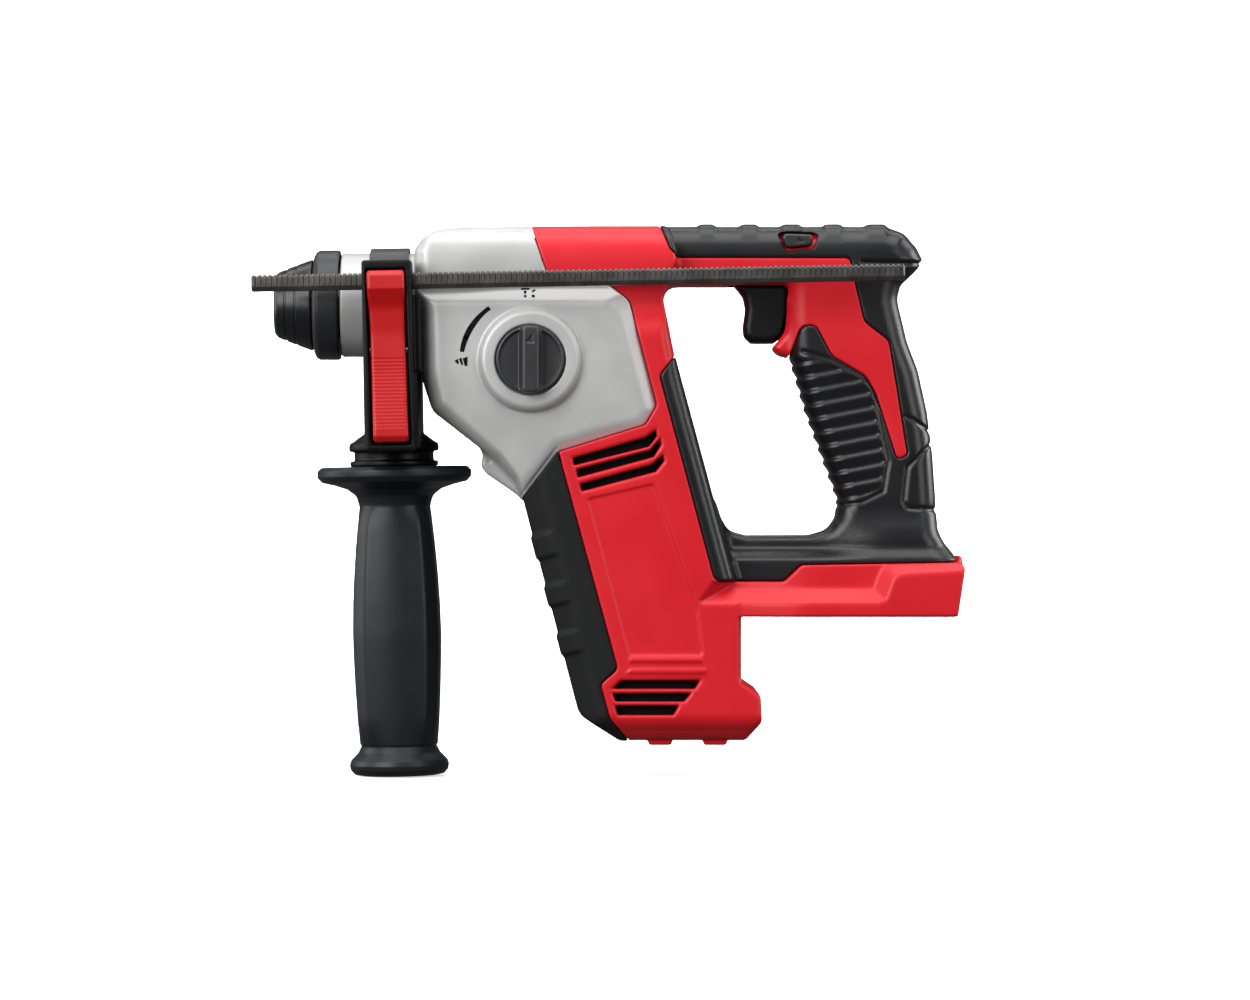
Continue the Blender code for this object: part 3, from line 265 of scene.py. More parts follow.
def surface(name, g, f, keep=1.0, matrix=None):
    """Closed mesh of a field's zero level, with normals from the field."""
    f = np.array(np.broadcast_to(f, g.shape), np.float32)
    for ax in range(3):
        for end in (0, -1):
            sl = [slice(None)] * 3
            sl[ax] = end
            f[tuple(sl)] = np.maximum(f[tuple(sl)], 0.5 * g.h)
    s = f < 0
    c = np.zeros(tuple(n - 1 for n in g.shape), np.uint8)
    for dx in (0, 1):
        for dy in (0, 1):
            for dz in (0, 1):
                c += s[dx:s.shape[0] - 1 + dx, dy:s.shape[1] - 1 + dy, dz:s.shape[2] - 1 + dz]
    cells = np.argwhere((c > 0) & (c < 8))
    ident = np.full(c.shape, -1, np.int32)
    ident[tuple(cells.T)] = np.arange(len(cells))
    total = np.zeros((len(cells), 3), np.float32)
    count = np.zeros(len(cells), np.float32)
    corner = {}
    for d in np.ndindex(2, 2, 2):
        corner[d] = f[cells[:, 0] + d[0], cells[:, 1] + d[1], cells[:, 2] + d[2]]
    for ax in range(3):
        for d in np.ndindex(2, 2, 2):
            if d[ax]:
                continue
            e = list(d)
            e[ax] = 1
            a, b = corner[d], corner[tuple(e)]
            cut = (a < 0) != (b < 0)
            t = np.where(cut, a / np.where(cut, a - b, 1), 0)
            q = np.tile(np.array(d, np.float32), (len(cells), 1))
            q[:, ax] = t
            total += q * cut[:, None]
            count += cut
    p = cells + total / count[:, None]
    quads = []
    for ax in range(3):
        o1, o2 = [(1, 2), (2, 0), (0, 1)][ax]
        sl0, sl1 = [slice(None)] * 3, [slice(None)] * 3
        sl0[ax], sl1[ax] = slice(None, -1), slice(1, None)
        cut = s[tuple(sl0)] != s[tuple(sl1)]
        e = np.argwhere(cut)
        e = e[(e[:, o1] > 0) & (e[:, o2] > 0) & (e[:, o1] < g.shape[o1] - 1) & (e[:, o2] < g.shape[o2] - 1)]
        inside = s[tuple(e.T)]
        ring = []
        for k1, k2 in ((1, 1), (0, 1), (0, 0), (1, 0)):
            q = e.copy()
            q[:, o1] -= k1
            q[:, o2] -= k2
            ring.append(ident[tuple(q.T)])
        ring = np.stack(ring, 1)
        ring[~inside] = ring[~inside][:, ::-1]
        quads.append(ring)
    quads = np.concatenate(quads)
    grad = np.gradient(f)

    def slope(q):
        return np.stack([pick(a, q) for a in grad], 1)

    for _ in range(2):
        n = slope(p)
        v = pick(f, p)
        step = np.clip(v / np.maximum((n * n).sum(1), 0.05), -0.5, 0.5)
        p = p - n * step[:, None]
    me = bpy.data.meshes.new(name)
    me.from_pydata((p * g.h + g.lo) * MM, [], quads.tolist())
    me.update()
    ob = bpy.data.objects.new(name, me)
    bpy.context.scene.collection.objects.link(ob)
    if keep < 1:
        md = ob.modifiers.new("thin", "DECIMATE")
        md.ratio = keep
        dg = bpy.context.evaluated_depsgraph_get()
        slim = bpy.data.meshes.new_from_object(ob.evaluated_get(dg))
        ob.modifiers.clear()
        ob.data = slim
        bpy.data.meshes.remove(me)
        me = slim
        me.name = name
    co = np.empty(len(me.vertices) * 3, np.float32)
    me.vertices.foreach_get("co", co)
    n = slope((co.reshape(-1, 3) / MM - g.lo) / g.h)
    n /= np.maximum(np.linalg.norm(n, axis=1), 1e-6)[:, None]
    if matrix is not None:
        me.transform(matrix)
        n = n @ np.array(matrix.to_3x3()).T
    me.shade_smooth()
    me.normals_split_custom_set_from_vertices(n.tolist())
    return ob


def mirrored(ob, name):
    """The right-hand twin of a left-hand piece."""
    me = ob.data.copy()
    n = np.empty(len(me.corner_normals) * 3, np.float32)
    me.corner_normals.foreach_get("vector", n)
    loops = np.empty(len(me.loops), np.int32)
    me.loops.foreach_get("vertex_index", loops)
    per = np.zeros((len(me.vertices), 3), np.float32)
    per[loops] = n.reshape(-1, 3)
    per[:, 1] *= -1
    me.transform(Matrix.Diagonal((1, -1, 1, 1)))
    me.flip_normals()
    me.shade_smooth()
    me.normals_split_custom_set_from_vertices(per.tolist())
    me.name = name
    out = bpy.data.objects.new(name, me)
    bpy.context.scene.collection.objects.link(out)
    return out


# ------------------------------------------------------------------ meshes
def mesh_of(name, verts, faces, smooth=None):
    me = bpy.data.meshes.new(name)
    me.from_pydata([tuple(c * MM for c in v) for v in verts], [], faces)
    bm = bmesh.new()
    bm.from_mesh(me)
    bmesh.ops.remove_doubles(bm, verts=bm.verts, dist=1e-7)
    bmesh.ops.recalc_face_normals(bm, faces=bm.faces)
    bm.to_mesh(me)
    bm.free()
    me.shade_smooth()
    if smooth:
        me.set_sharp_from_angle(angle=math.radians(smooth))
    ob = bpy.data.objects.new(name, me)
    bpy.context.scene.collection.objects.link(ob)
    return ob


def lathe(name, profile, place, steps=96, smooth=32, shape=None):
    """Turn a closed profile of (along, radius) points; place maps (along,
    radius, angle) to a point, and shape may change the radius by angle."""
    verts, faces, at = [], [], {}
    n = len(profile)
    for i, (t, r) in enumerate(profile):
        for k in range(steps):
            a = 2 * math.pi * k / steps
            if r < 1e-6 and k:
                at[k, i] = at[0, i]
                continue
            at[k, i] = len(verts)
            verts.append(place(t, shape(t, r, a) if shape else r, a))
    for k in range(steps):
        k2 = (k + 1) % steps
        for i in range(n):
            j = (i + 1) % n
            ring = list(dict.fromkeys((at[k, i], at[k, j], at[k2, j], at[k2, i])))
            if len(ring) > 2:
                faces.append(ring)
    return mesh_of(name, verts, faces, smooth)


def along_x(t, r, a):
    return t, r * math.sin(a), AXIS_Z + r * math.cos(a)


def soften(profile, r, seg=3):
    """Round the corners of a closed profile."""
    return fillet([(*p, r if len(p) < 3 else p[2]) for p in profile], seg)


# ------------------------------------------------------------------ shells
RED, SOFT, NYLON, CAST, STEEL, DARK = "red_plastic", "soft_black", "black_nylon", "cast_aluminium", "steel", "dark_steel"
SCREWS = [(655, 728, 27.0), (746, 712, 27.0), (725, 640, 27.0), (930, 571, 30.0), (876, 350, 11.0), (905, 505, 11.0)]


def girth(g):
    """Half width at the drive axis, a little fuller towards the nose."""
    return 28.6 + 1.9 * ramp((place(560) - g.x) / (place(560) - place(425)))


def barrel(g):
    """Section above the drive axis: an oval with squared shoulders."""
    p = 4.0
    half = girth(g) + 0.13 * np.maximum(g.z - AXIS_Z - 8.0, 0)
    return (((g.ay / half) ** p + (np.maximum(g.z - AXIS_Z, 0) / 32.4) ** p) ** (1 / p) - 1) * 30.5


def waist(g):
    """Sides of the body: a barrel above the drive axis, flat below it."""
    side = g.ay - (HW_BODY - (HW_BODY - girth(g)) * ramp((g.z - AXIS_Z + 15) / 15))
    return np.where(g.z > AXIS_Z, barrel(g), side)


def height(v, y=-20.0):
    return xz(CU, v, y)[1]


def place(u, y=-20.0):
    return xz(u, CV, y)[0]


FRONT_A, FRONT_B = xz(524, 500, -25), xz(579.5, 714, -27)


def front_line(g):
    """Depth behind the column's slanted front, and distance down along it."""
    (ax, az), (bx, bz) = FRONT_A, FRONT_B
    n = math.hypot(bx - ax, bz - az)
    tx, tz = (bx - ax) / n, (bz - az) / n
    return (g.z - az) * tx - (g.x - ax) * tz, (g.x - ax) * tx + (g.z - az) * tz


def outer(g):
    """The whole moulded outside, before it is split into skins."""
    middle = place(620) + (place(664) - place(620)) * (height(390) - g.z) / (height(390) - height(580))
    edge = 6.0 + 0.8 * ramp((g.x - middle) / 6) * ramp((height(362) - g.z) / 9) * ramp((g.z - height(588)) / 2)
    edge = edge - 3.4 * ramp((height(588) - g.z) / 5)
    body = smax(slab(g.poly(drawn(BODY)), g.ay, HW_BODY, edge), waist(g), 1.0)
    cheek = (g.ay - HW_BODY + 0.62 * (9.0 - front_line(g)[0])) / math.hypot(1, 0.62)
    body = smax(body, cheek, 1.4)
    loop = smin(g.poly(drawn(GRIP)), g.poly(drawn(BAR)), 2.0)
    back = ramp((g.x - place(812)) / (place(885) - place(812)))
    swell = 4.0 * back * ramp((height(506) - g.z) / (height(506) - height(542)))
    half = HW_GRIP + swell + (HW_BAR - HW_GRIP - 4.0 * back) * ramp((height(545) - g.z) / (height(545) - height(562)))
    rim = 8.0 + 3.0 * ramp((g.z - height(272)) / (height(246) - height(272)))
    rim = rim - 4.5 * (1 - back) * ramp((height(505) - g.z) / (height(505) - height(525)))
    return smin(body, rounded(loop, g.ay - half, rim), 0.4 + 3.6 * ramp((height(250) - g.z) / 6))


def foot(g):
    """Battery foot: a deck with a wider plate under a slanted step."""
    d = g.poly(drawn(FOOT))
    wide, step = ledge(g)
    deck = slab(d, g.ay, wide - 5.7, 1.0)
    plate = smax(smax(step, g.ay - wide, 0.9), slab(d, g.ay, HW_FOOT, 1.2), 0.6)
    lip = slab(g.poly(drawn(LIP)), g.ay, 21.0, 5.0)
    return smin(smin(deck, plate, 0.8), lip, 1.5)


def ledge(g):
    """Half width of the foot's outer face, and the slanted step above it."""
    wide = HW_BODY - 0.6 + (HW_FOOT - HW_BODY + 0.6) * ramp((g.x - place(728)) / (place(815) - place(728)))
    return wide, (g.poly(drawn(PLATE)) - (wide - g.ay) * 1.12) / 1.5


def line(g, pts, y=-30.0):
    return g.lines([[xz(u, v, y) for u, v in pts]])


def groove(d, depth, width):
    return depth * np.exp(-(d / width) ** 2)


g = Grid((-136.2, -38.4, -57.0), (48.0, 0.6, 160.2), 0.6)
form = outer(g)
wide, step = ledge(g)
sunk = np.maximum(np.maximum(height(606) - g.z, g.z - height(581.5)), place(690) - g.x)
form = smax(form, -np.maximum(np.maximum(sunk, -step), wide - 5.75 - g.ay), 0.5)
shape = smin(form, foot(g), 0.6)
black = g.poly(drawn(BLACKS))
guard = g.poly(drawn(BUMPER))
metal = g.poly(drawn(SILVER))

# red shell: outer face with its panel, louvres, bars and lower bevel
face = shape
panel = g.poly(drawn(LOGO, -33))
face = smax(face, -np.maximum(panel, -(shape + 0.55)), 0.45)
for b in BARS:
    face = smin(face, rounded(g.poly(drawn(b, -33)), shape - 0.55, 0.5), 0.6)
low = (g.ay - HW_BODY + 1.05 * (height(721, -33) - g.z)) / math.hypot(1, 1.05)
low = np.where(g.x < place(775), low, -50)
face = smax(face, low, 2.5)
under = smax(shape, low, 2.5)
face = smin(face, slab(g.poly(drawn(NUB)), g.ay, 13.0, 3.0), 3.0)
for u in ((647, 673), (702, 728)):
    pad = g.poly(drawn([(u[0], 735, 0, -20), (u[1], 735, 0, -20), (u[1] - 1.5, 744.8, 1, -20), (u[0] + 1.5, 744.8, 1, -20)]))
    face = smin(face, rounded(pad, np.abs(g.ay - 15.5) - 7.5, 0.6), 0.5)
red = smax(face, -black + 0.12, 0.5)
red = smax(red, -guard + 0.12, 0.5)
red = np.minimum(red, under + 2.35)
red = smax(red, -metal + 0.14, 0.5)
room = np.where((g.x > -46) & (g.z < 13), 5.0, shape + 4.8)
red = np.maximum(red, -room)
red = np.minimum(red, np.maximum(np.maximum(shape + 4.7, -shape - 6.0), np.abs(metal) - 2.6))
red = np.maximum(red, -np.maximum(np.maximum(guard - 0.3, metal - 3.0), -(shape + 4.6)))
for i, v in enumerate(VENTS):
    slot = np.maximum(g.poly(drawn([(*p, -33) for p in v])), 24 - g.ay)
    red = smax(red, -slot, 1.5)
mouth = np.maximum(np.abs(g.x - (place(729) + place(806)) / 2) - (place(806) - place(729)) / 2,
                   np.abs(g.z - (height(344) + height(274)) / 2) - (height(274) - height(344)) / 2)
red = np.maximum(red, -np.maximum(mouth, g.ay - 9.6))
button = g.poly(drawn(SHUT))
red = smax(red, -(button - 0.3), 0.3)
bay = np.maximum(np.where((g.z > 2), g.ay - np.minimum(31.0, wide - 7.8), g.ay - 26.0), np.maximum(np.maximum(-41.0 - g.x, g.z - 9.0), -9.5 - g.z))
red = smax(red, -bay, 0.6)
halfway = g.y + 0.13


def post(s):
    """Distance from the axis of one housing screw."""
    x, z = xz(s[0], s[1], 0)
    return np.hypot(g.x - x, g.z - z)


left = surface("housing_shell_left", g, smax(red, halfway, 0.5), 0.42)
bored = red
for s in SCREWS:
    bored = np.minimum(bored, np.maximum(np.maximum(post(s) - 6.3, g.ay - s[2] + 0.2), shape + 2.4))
    bored = smax(bored, -np.maximum(post(s) - 4.1, s[2] - g.ay), 0.5)
    bored = np.maximum(bored, 1.9 - post(s))
right = mirrored(surface("shell", g, smax(bored, halfway, 0.5), 0.42), "housing_shell_right")
bpy.data.objects.remove(bpy.data.objects["shell"])

# soft grip skin with its ribs, seams and finger bumps
skin = form - 0.3
ribs = g.poly(drawn(GRIP_PANEL))
phase = (g.z - g.x * math.tan(math.radians(11)) - height(352)) / 5.97
wave = phase - np.floor(phase)
wave = smin(wave / 0.72, (1 - wave) / 0.28, 0.3)
inside = ramp((-ribs - 0.6) / 2.2) * ramp((height(357) - g.z) / 3.5)
skin = skin + inside * (0.85 - 1.2 * wave)
skin = skin + groove(line(g, [(803, 352), (830, 359), (866.5, 379), (875, 394), (888, 461), (883, 491.6), (862, 502), (838, 506)], -14), 0.75, 0.75)
skin = skin + groove(line(g, [(905, 417), (912, 420), (930, 432)], -10), 0.8, 0.7)
skin = skin + groove(line(g, [(931, 444), (907, 467), (903, 502), (907, 508), (938, 510)], -12), 0.8, 0.7)
skin = skin + groove(line(g, [(862, 262.5), (905, 263.5), (930, 262)], -14), 1.2, 0.65)
for a, b in ((698, 715), (740, 758), (781, 801), (823, 842), (865, 887)):
    m, w = (place(a, -6) + place(b, -6)) / 2, (place(b, -6) - place(a, -6)) / 2
    skin = skin - 1.1 * ramp((w + 1.1 - np.abs(g.x - m)) / 2.6) * ramp((g.z - height(241, -14)) / 6.5)
soft = smax(skin, black + 0.1, 0.9)
soft = np.maximum(soft, -(shape + 2.05))
soft = smax(soft, -np.maximum(g.poly(drawn(SHUT_HOLE)), 6.0 - g.ay), 0.9)
soft = np.maximum(soft, -np.maximum(mouth, g.ay - 9.8))
grip_left = surface("grip_skin_left", g, smax(soft, halfway, 0.6), 0.5)
bored = soft
for s in SCREWS[3:]:
    bored = smax(bored, -np.maximum(post(s) - 4.2, s[2] - g.ay), 0.6)
grip_right = mirrored(surface("skin", g, smax(bored, halfway, 0.6), 0.5), "grip_skin_right")
bpy.data.objects.remove(bpy.data.objects["skin"])

# front bumper: bevelled front with three raised pads
deep, down = front_line(g)
front = form - 0.3
for a, b in ((535, 560), (585, 607), (633, 656)):
    m, w = ((a + b) / 2 - 500) * DU * 0.987 / 0.968, (b - a) / 2 * DU
    front = front - 0.95 * ramp((w + 0.9 - np.abs(down - m)) / 2.2) * ramp((10.0 - deep) / 6.0)
front = smax(smax(front, low - 0.3, 2.5), guard + 0.1, 0.9)
front = np.maximum(front, -(under + 2.05 + 2.3 * ramp((3.0 - metal) / 0.8)))
bump_left = surface("bumper_skin_left", g, smax(front, halfway, 0.6), 0.6)
bump_right = mirrored(bump_left, "bumper_skin_right")
del red, soft, skin, front, bored, face, room, inside, wave, phase

# ------------------------------------------------------------------ gear case
q = Grid((-211.6, -38.4, 43.0), (-79.6, 34.6, 158.8), 0.6)
d = q.poly(drawn(CASE))
axle = np.hypot(q.y, q.z - AXIS_Z)
droop = 0.0009 * np.maximum(height(335, -33) - q.z, 0) ** 2
side = np.where(q.z > AXIS_Z, barrel(q), q.ay - girth(q) + droop)
base = smax(slab(d, q.ay, R_BARREL + 0.3, 9.0), side, 0.8)
crown = HW_BODY - droop
plate = smax((q.poly(drawn(PANEL)) - (crown - q.ay) * 2.2) / 2.42, q.ay - crown, 0.8)
plate = smax(plate, (q.z - height(302.5, -33) - (crown - q.ay) * 1.25) / 1.6, 1.0)
plate = smax(plate, slab(d, q.ay, HW_BODY, 9.5), 0.5)
case = smin(base, plate, 0.9)
lug = slab(q.poly(drawn([(484, 445, 1, -16), (481, 466.5, 2, -16), (486.5, 474, 3, -16), (524.5, 500, 1, -16), (536, 468, 0, -16)])), q.ay, 17.0, 1.2)
pocket = q.poly(drawn([(485.5, 450, 1.5, -16), (504, 460, 1, -16), (487.5, 463.5, 1.5, -16)]))
case = smin(case, smax(lug, -np.maximum(pocket, 16.65 - q.ay), 0.2), 3.0)
case = case + groove(q.lines([[xz(556, 448.5, -33), xz(520.5, 496, -30)]]), 0.5, 0.45)
edge = q.poly(drawn(SILVER))
case = smax(case, edge + 0.1, 0.4)
case = np.maximum(case, -(np.minimum(base, plate + 1.2) + 3.4))
case = smin(case, rounded(axle - 21.5, np.abs(q.x + 192.4) - 17.7, 0.7), 1.2)
case = np.maximum(case, -np.maximum(axle - 16.3, q.x + 150))
case = np.maximum(case, -np.maximum(axle - 18.7, q.x + 188))
hub = np.hypot(q.x - DIAL_X, q.z - DIAL_Z)
ring = smax(smax(hub - 20.9, (hub - 56.2 - q.y) / 1.414, 0.8), -37.0 - q.y, 0.7)
ring = np.maximum(ring, q.y + 29.0)
case = smin(case, ring, 1.0)
case = smax(case, -np.maximum(hub - 14.35, q.y + 34.4), 0.5)
case = np.maximum(case, -np.maximum(hub - 6.5, q.y + 20))
cast = surface("gear_case_casting", q, case, 0.55)
del base, plate, case, ring, side, axle

# printed marks beside the mode knob, laid on the casting
tree = BVHTree.FromObject(cast, bpy.context.evaluated_depsgraph_get())


def printed(name, shapes, lift=0.07):
    """Thin ink on the left face of the casting, from drawing outlines."""
    verts, faces = [], []
    for pts in shapes:
        n0 = len(verts)
        for u, v in pts:
            x, z = xz(u, v, -33.5)
            hit = tree.ray_cast(Vector((x * MM, -0.06, z * MM)), Vector((0, 1, 0)))[0]
            y = hit.y / MM if hit else -33.5
            verts.append((x, y - lift, z))
            verts.append((x, y + 0.25, z))
        n = len(pts)
        faces.append([n0 + 2 * i for i in range(n)])
        faces.append([n0 + 2 * i + 1 for i in range(n)][::-1])
        for i in range(n):
            j = (i + 1) % n
            faces.append((n0 + 2 * i, n0 + 2 * i + 1, n0 + 2 * j + 1, n0 + 2 * j))
    return mesh_of(name, verts, faces, 30)


def sweep(r0, r1, w, a0, a1, n=22):
    """Pieces of an arc of changing radius about the knob, as quads."""
    out = []
    for i in range(n):
        row = []
        for k, s in ((i, -1), (i + 1, -1), (i + 1, 1), (i, 1)):
            t = k / n
            a = math.radians(a0 + (a1 - a0) * t)
            r = r0 + (r1 - r0) * t + s * w * (0.75 + 0.25 * math.sin(math.pi * min(1, t * 1.2)))
            row.append((529.7 - r * math.cos(a), 359 - r * math.sin(a)))
        out.append(row)
    return out


marks = sweep(68.2, 65.0, 2.9, 6, 52)
marks += [[(454.5, 361.0), (457.5, 358.6), (459.2, 363.0), (457.8, 364.2)],
          [(458.8, 359.0), (461.4, 357.4), (463.2, 364.6), (461.6, 365.4)],
          [(462.6, 358.4), (467.6, 356.6), (467.4, 366.0), (464.8, 366.0)],
          [(520.8, 287.4), (529.4, 287.4), (529.4, 289.2), (520.8, 289.2)],
          [(523.6, 290.2), (526.4, 290.2), (526.0, 293.2), (524.0, 293.2)],
          [(524.0, 294.6), (526.2, 294.6), (526.2, 297.2), (524.0, 297.2)],
          [(531.4, 290.4), (534.8, 288.4), (535.4, 290.2), (532.0, 292.2)],
          [(531.6, 294.4), (534.6, 294.4), (534.6, 297.2), (531.6, 297.2)]]
ink = printed("mode_marks", marks)

# ------------------------------------------------------------------ mode knob
k = Grid((DIAL_X - 15.3, -46.0, DIAL_Z - 15.3), (DIAL_X + 15.3, -33.4, DIAL_Z + 15.3), 0.32)
rr = np.hypot(k.x - DIAL_X, k.z - DIAL_Z)
disc = rounded(rr - 13.9, np.abs(k.y + 36.6) - 1.9, 0.7)
wall = np.abs(k.x - DIAL_X - 0.3) - 3.35 - 0.05 * (k.y + 45)
bar = smax(smax(wall, rr - 13.6, 1.0), np.abs(k.y + 39.8) - 5.1, 1.2)
dish = np.maximum(np.abs(np.abs(k.x - DIAL_X - 0.3) - 9.2) - 4.6, np.maximum(rr - 12.4, k.y + 37.7))
knob = smin(smax(disc, -dish, 0.6), bar, 1.4)
arrow = k.poly([(DIAL_X - 1.5, DIAL_Z + 6.9), (DIAL_X + 1.6, DIAL_Z + 6.4), (DIAL_X + 1.1, DIAL_Z + 10.2)])
knob = smax(knob, -np.maximum(arrow, k.y + 44.5), 0.25)
knob = np.minimum(knob, np.maximum(rr - 6.0, np.abs(k.y + 34.6) - 1.0))
dial = surface("mode_dial", k, knob)

# ------------------------------------------------------------------ trigger, shuttle
TRIG = [(732, 283, 1), (737, 289, 3), (743.2, 297, 5), (745.6, 309, 5), (743.0, 328, 5), (744.2, 337, 3),
        (751, 343.2, 2), (773.5, 343.2, 1), (781, 338, 3), (786, 328, 4), (789.5, 314, 4), (789.5, 283, 1)]
k = Grid((-50.6, -9.9, 108.2), (-23.8, 9.9, 135.4), 0.35)
d = k.poly(drawn(TRIG, -7))
pull = slab(d, k.ay, 9.1, 3.4)
pull = pull + 0.45 * ramp((-40.0 - k.x) / 5) * ramp((4.5 - k.ay) / 4.5)
lever = surface("trigger_paddle", k, pull)

k = Grid((-29.4, -19.6, 147.2), (-14.4, 19.6, 155.2), 0.3)
d = k.poly(drawn(SHUT)) - 0.12
push = slab(d, k.ay, 18.7, 0.9)
arrow = k.poly([xz(797.2, 237.6, -18), xz(804.6, 241.4, -18), xz(797.0, 243.4, -18)])
push = smax(push, -np.maximum(arrow, 18.1 - k.ay), 0.2)
shuttle = surface("direction_button", k, push)

# ------------------------------------------------------------------ side handle
k = Grid((-21.0, -47.6, -67.2), (21.0, 22.4, 18.0), 0.45)
r = np.hypot(k.y, k.z)
axis = np.hypot(k.x, k.y)


def brick(k, lo, hi, e):
    c, h = [(a + b) / 2 for a, b in zip(lo, hi)], [(b - a) / 2 for a, b in zip(lo, hi)]
    return rounded(rounded(np.abs(k.x - c[0]) - h[0], np.abs(k.y - c[1]) - h[1], e), np.abs(k.z - c[2]) - h[2], e)


tower = brick(k, (-9.8, -46.5, -61.2), (10.4, -25.0, 16.6), 1.3)
saddle = smax(brick(k, (-9.8, -39.0, -60.0), (11.7, 21.0, -13.0), 1.6), 22.3 - r, 0.8)
frame_ = smin(tower, saddle, 1.5)
frame_ = smin(frame_, brick(k, (-6.0, -41.0, -30.5), (11.5, -27.0, 2.5), 3.0), 1.0)
skirt = smax(axis - 18.2, np.abs(k.z + 58.9) - 1.6, 0.8)
flare = rounded(axis - (7.5 + 10.7 * ramp((-46.0 - k.z) / 13) ** 1.5), np.abs(k.z + 53) - 7, 0.6)
frame_ = smin(frame_, smin(skirt, flare, 1.5), 2.5)
neck = rounded(axis - 16.4, np.abs(k.z + 62) - 4.0, 0.4)
rim = rounded(axis - 18.2, np.abs(k.z + 65.7) - 1.1, 0.5)
frame_ = smin(frame_, smin(neck, rim, 0.8), 0.8)
frame_ = np.maximum(frame_, -(k.z + 66.8))
lean = 0.5 - 0.018 * (k.z + 22)
well = rounded(rounded(np.abs(k.x - lean) - 8.15, np.abs(k.z + 22.7) - 35.8, 0.8), k.y + 42.6, 0.4)
deep_well = rounded(np.maximum(np.abs(k.x - lean) - 7.6, np.abs(k.z + 36.25) - 22.25), k.y + 38.0, 0.4)
frame_ = smax(frame_, -np.minimum(well, deep_well), 0.5)
frame_ = smax(frame_, -np.maximum(np.maximum(9.2 - k.x, -27.0 - k.z), k.ay - 31.5), 0.4)
frame_ = smin(frame_, brick(k, (9.0, -40.0, -29.0), (13.6, -32.2, 2.5), 1.0), 0.6)
frame_ = smax(frame_, -(np.hypot(k.y + 38.5, k.z - 8.2) - 4.3), 0.5)
frame_ = np.maximum(frame_, -np.maximum(np.abs(k.x) - 4.9, np.maximum(k.ay - 9.5, -37.0 - k.z)))
frame_ = np.maximum(frame_, -(np.hypot(k.x, k.y) - 4.7))
clamp = surface("handle_clamp", k, frame_, 1.0, HANDLE)

k = Grid((-9.0, -24.4, -30.2), (9.0, 24.4, 24.4), 0.45)
r = np.hypot(k.y, k.z + np.clip(-k.z, 0, 2.2))
wide = 4.1 + 4.0 * ramp((k.z + 7.0) / 4.0)
strap = rounded(np.abs(r - 22.8) - 0.7, np.abs(k.x) - wide, 0.35)
tongue = rounded(rounded(np.abs(k.x) - 4.1, k.ay - 8.6, 0.5), np.abs(k.z + 26) - 3.5, 0.5)
band = surface("handle_strap", k, smin(strap, smax(tongue, 22.1 - r, 0.3), 0.8), 1.0, HANDLE)

k = Grid((-8.6, -51.2, -58.6), (9.6, -42.4, 13.4), 0.26)
d = k.poly_yz(fillet([(-43.2, 12.0, 0.6), (-47.4, 12.4, 1.6), (-49.1, 10.2, 1.6), (-49.3, 4.8, 0.8), (-45.2, -2.6, 8), (-44.4, -13, 28),
                      (-45.8, -29, 40), (-49.6, -51.8, 2), (-49.7, -55.2, 1.8), (-48.0, -57.5, 1.6), (-44.6, -57.5, 0.6), (-43.4, -48, 0)], 8))
half = 7.65 + (k.z - 12) * 0.008
pad = rounded(np.abs(k.x - 0.5 + 0.018 * (k.z + 22)) - half, d, 1.4)
teeth = 0.15 * (0.5 - 0.5 * np.cos(2 * np.pi * (k.z + 23.0) / 1.46)) ** 0.7
pad = pad + teeth * ramp((-23.0 - k.z) / 0.4) * ramp((k.z + 51.9) / 0.4) * ramp((-44.6 - k.y) / 0.6)
catch = surface("rod_release", k, pad, 1.0, HANDLE)

SECTION = fillet([(1, 0.58, 0.10), (0.73, 0.95, 0.10), (0, 1.0, 8), (-0.73, 0.95, 0.10), (-1, 0.58, 0.10),
                  (-1, -0.58, 0.10), (-0.73, -0.95, 0.10), (0, -1.0, 8), (0.73, -0.95, 0.10), (1, -0.58, 0.10)], 6)
TURN = sorted((math.atan2(y, x), math.hypot(x, y)) for x, y in
              ((a[0] + (b[0] - a[0]) * i / 8, a[1] + (b[1] - a[1]) * i / 8) for a, b in zip(SECTION, SECTION[1:] + SECTION[:1]) for i in range(8)))
TURN = [(TURN[-1][0] - 2 * math.pi, TURN[-1][1])] + TURN + [(TURN[0][0] + 2 * math.pi, TURN[0][1])]


def facets(t, r, a):
    """Grip section: broad faces with slanted corners along the middle, round
    at the ends."""
    w = float(ramp((-82.0 - t) / 9) * ramp((t + 184.0) / 12))
    a = (a + math.pi) % (2 * math.pi) - math.pi
    return r * (1 + 0.72 * w * (float(np.interp(a, [p[0] for p in TURN], [p[1] for p in TURN])) - 1))


def along_z(t, r, a):
    return HANDLE_MM @ Vector((r * math.cos(a), r * math.sin(a), t))


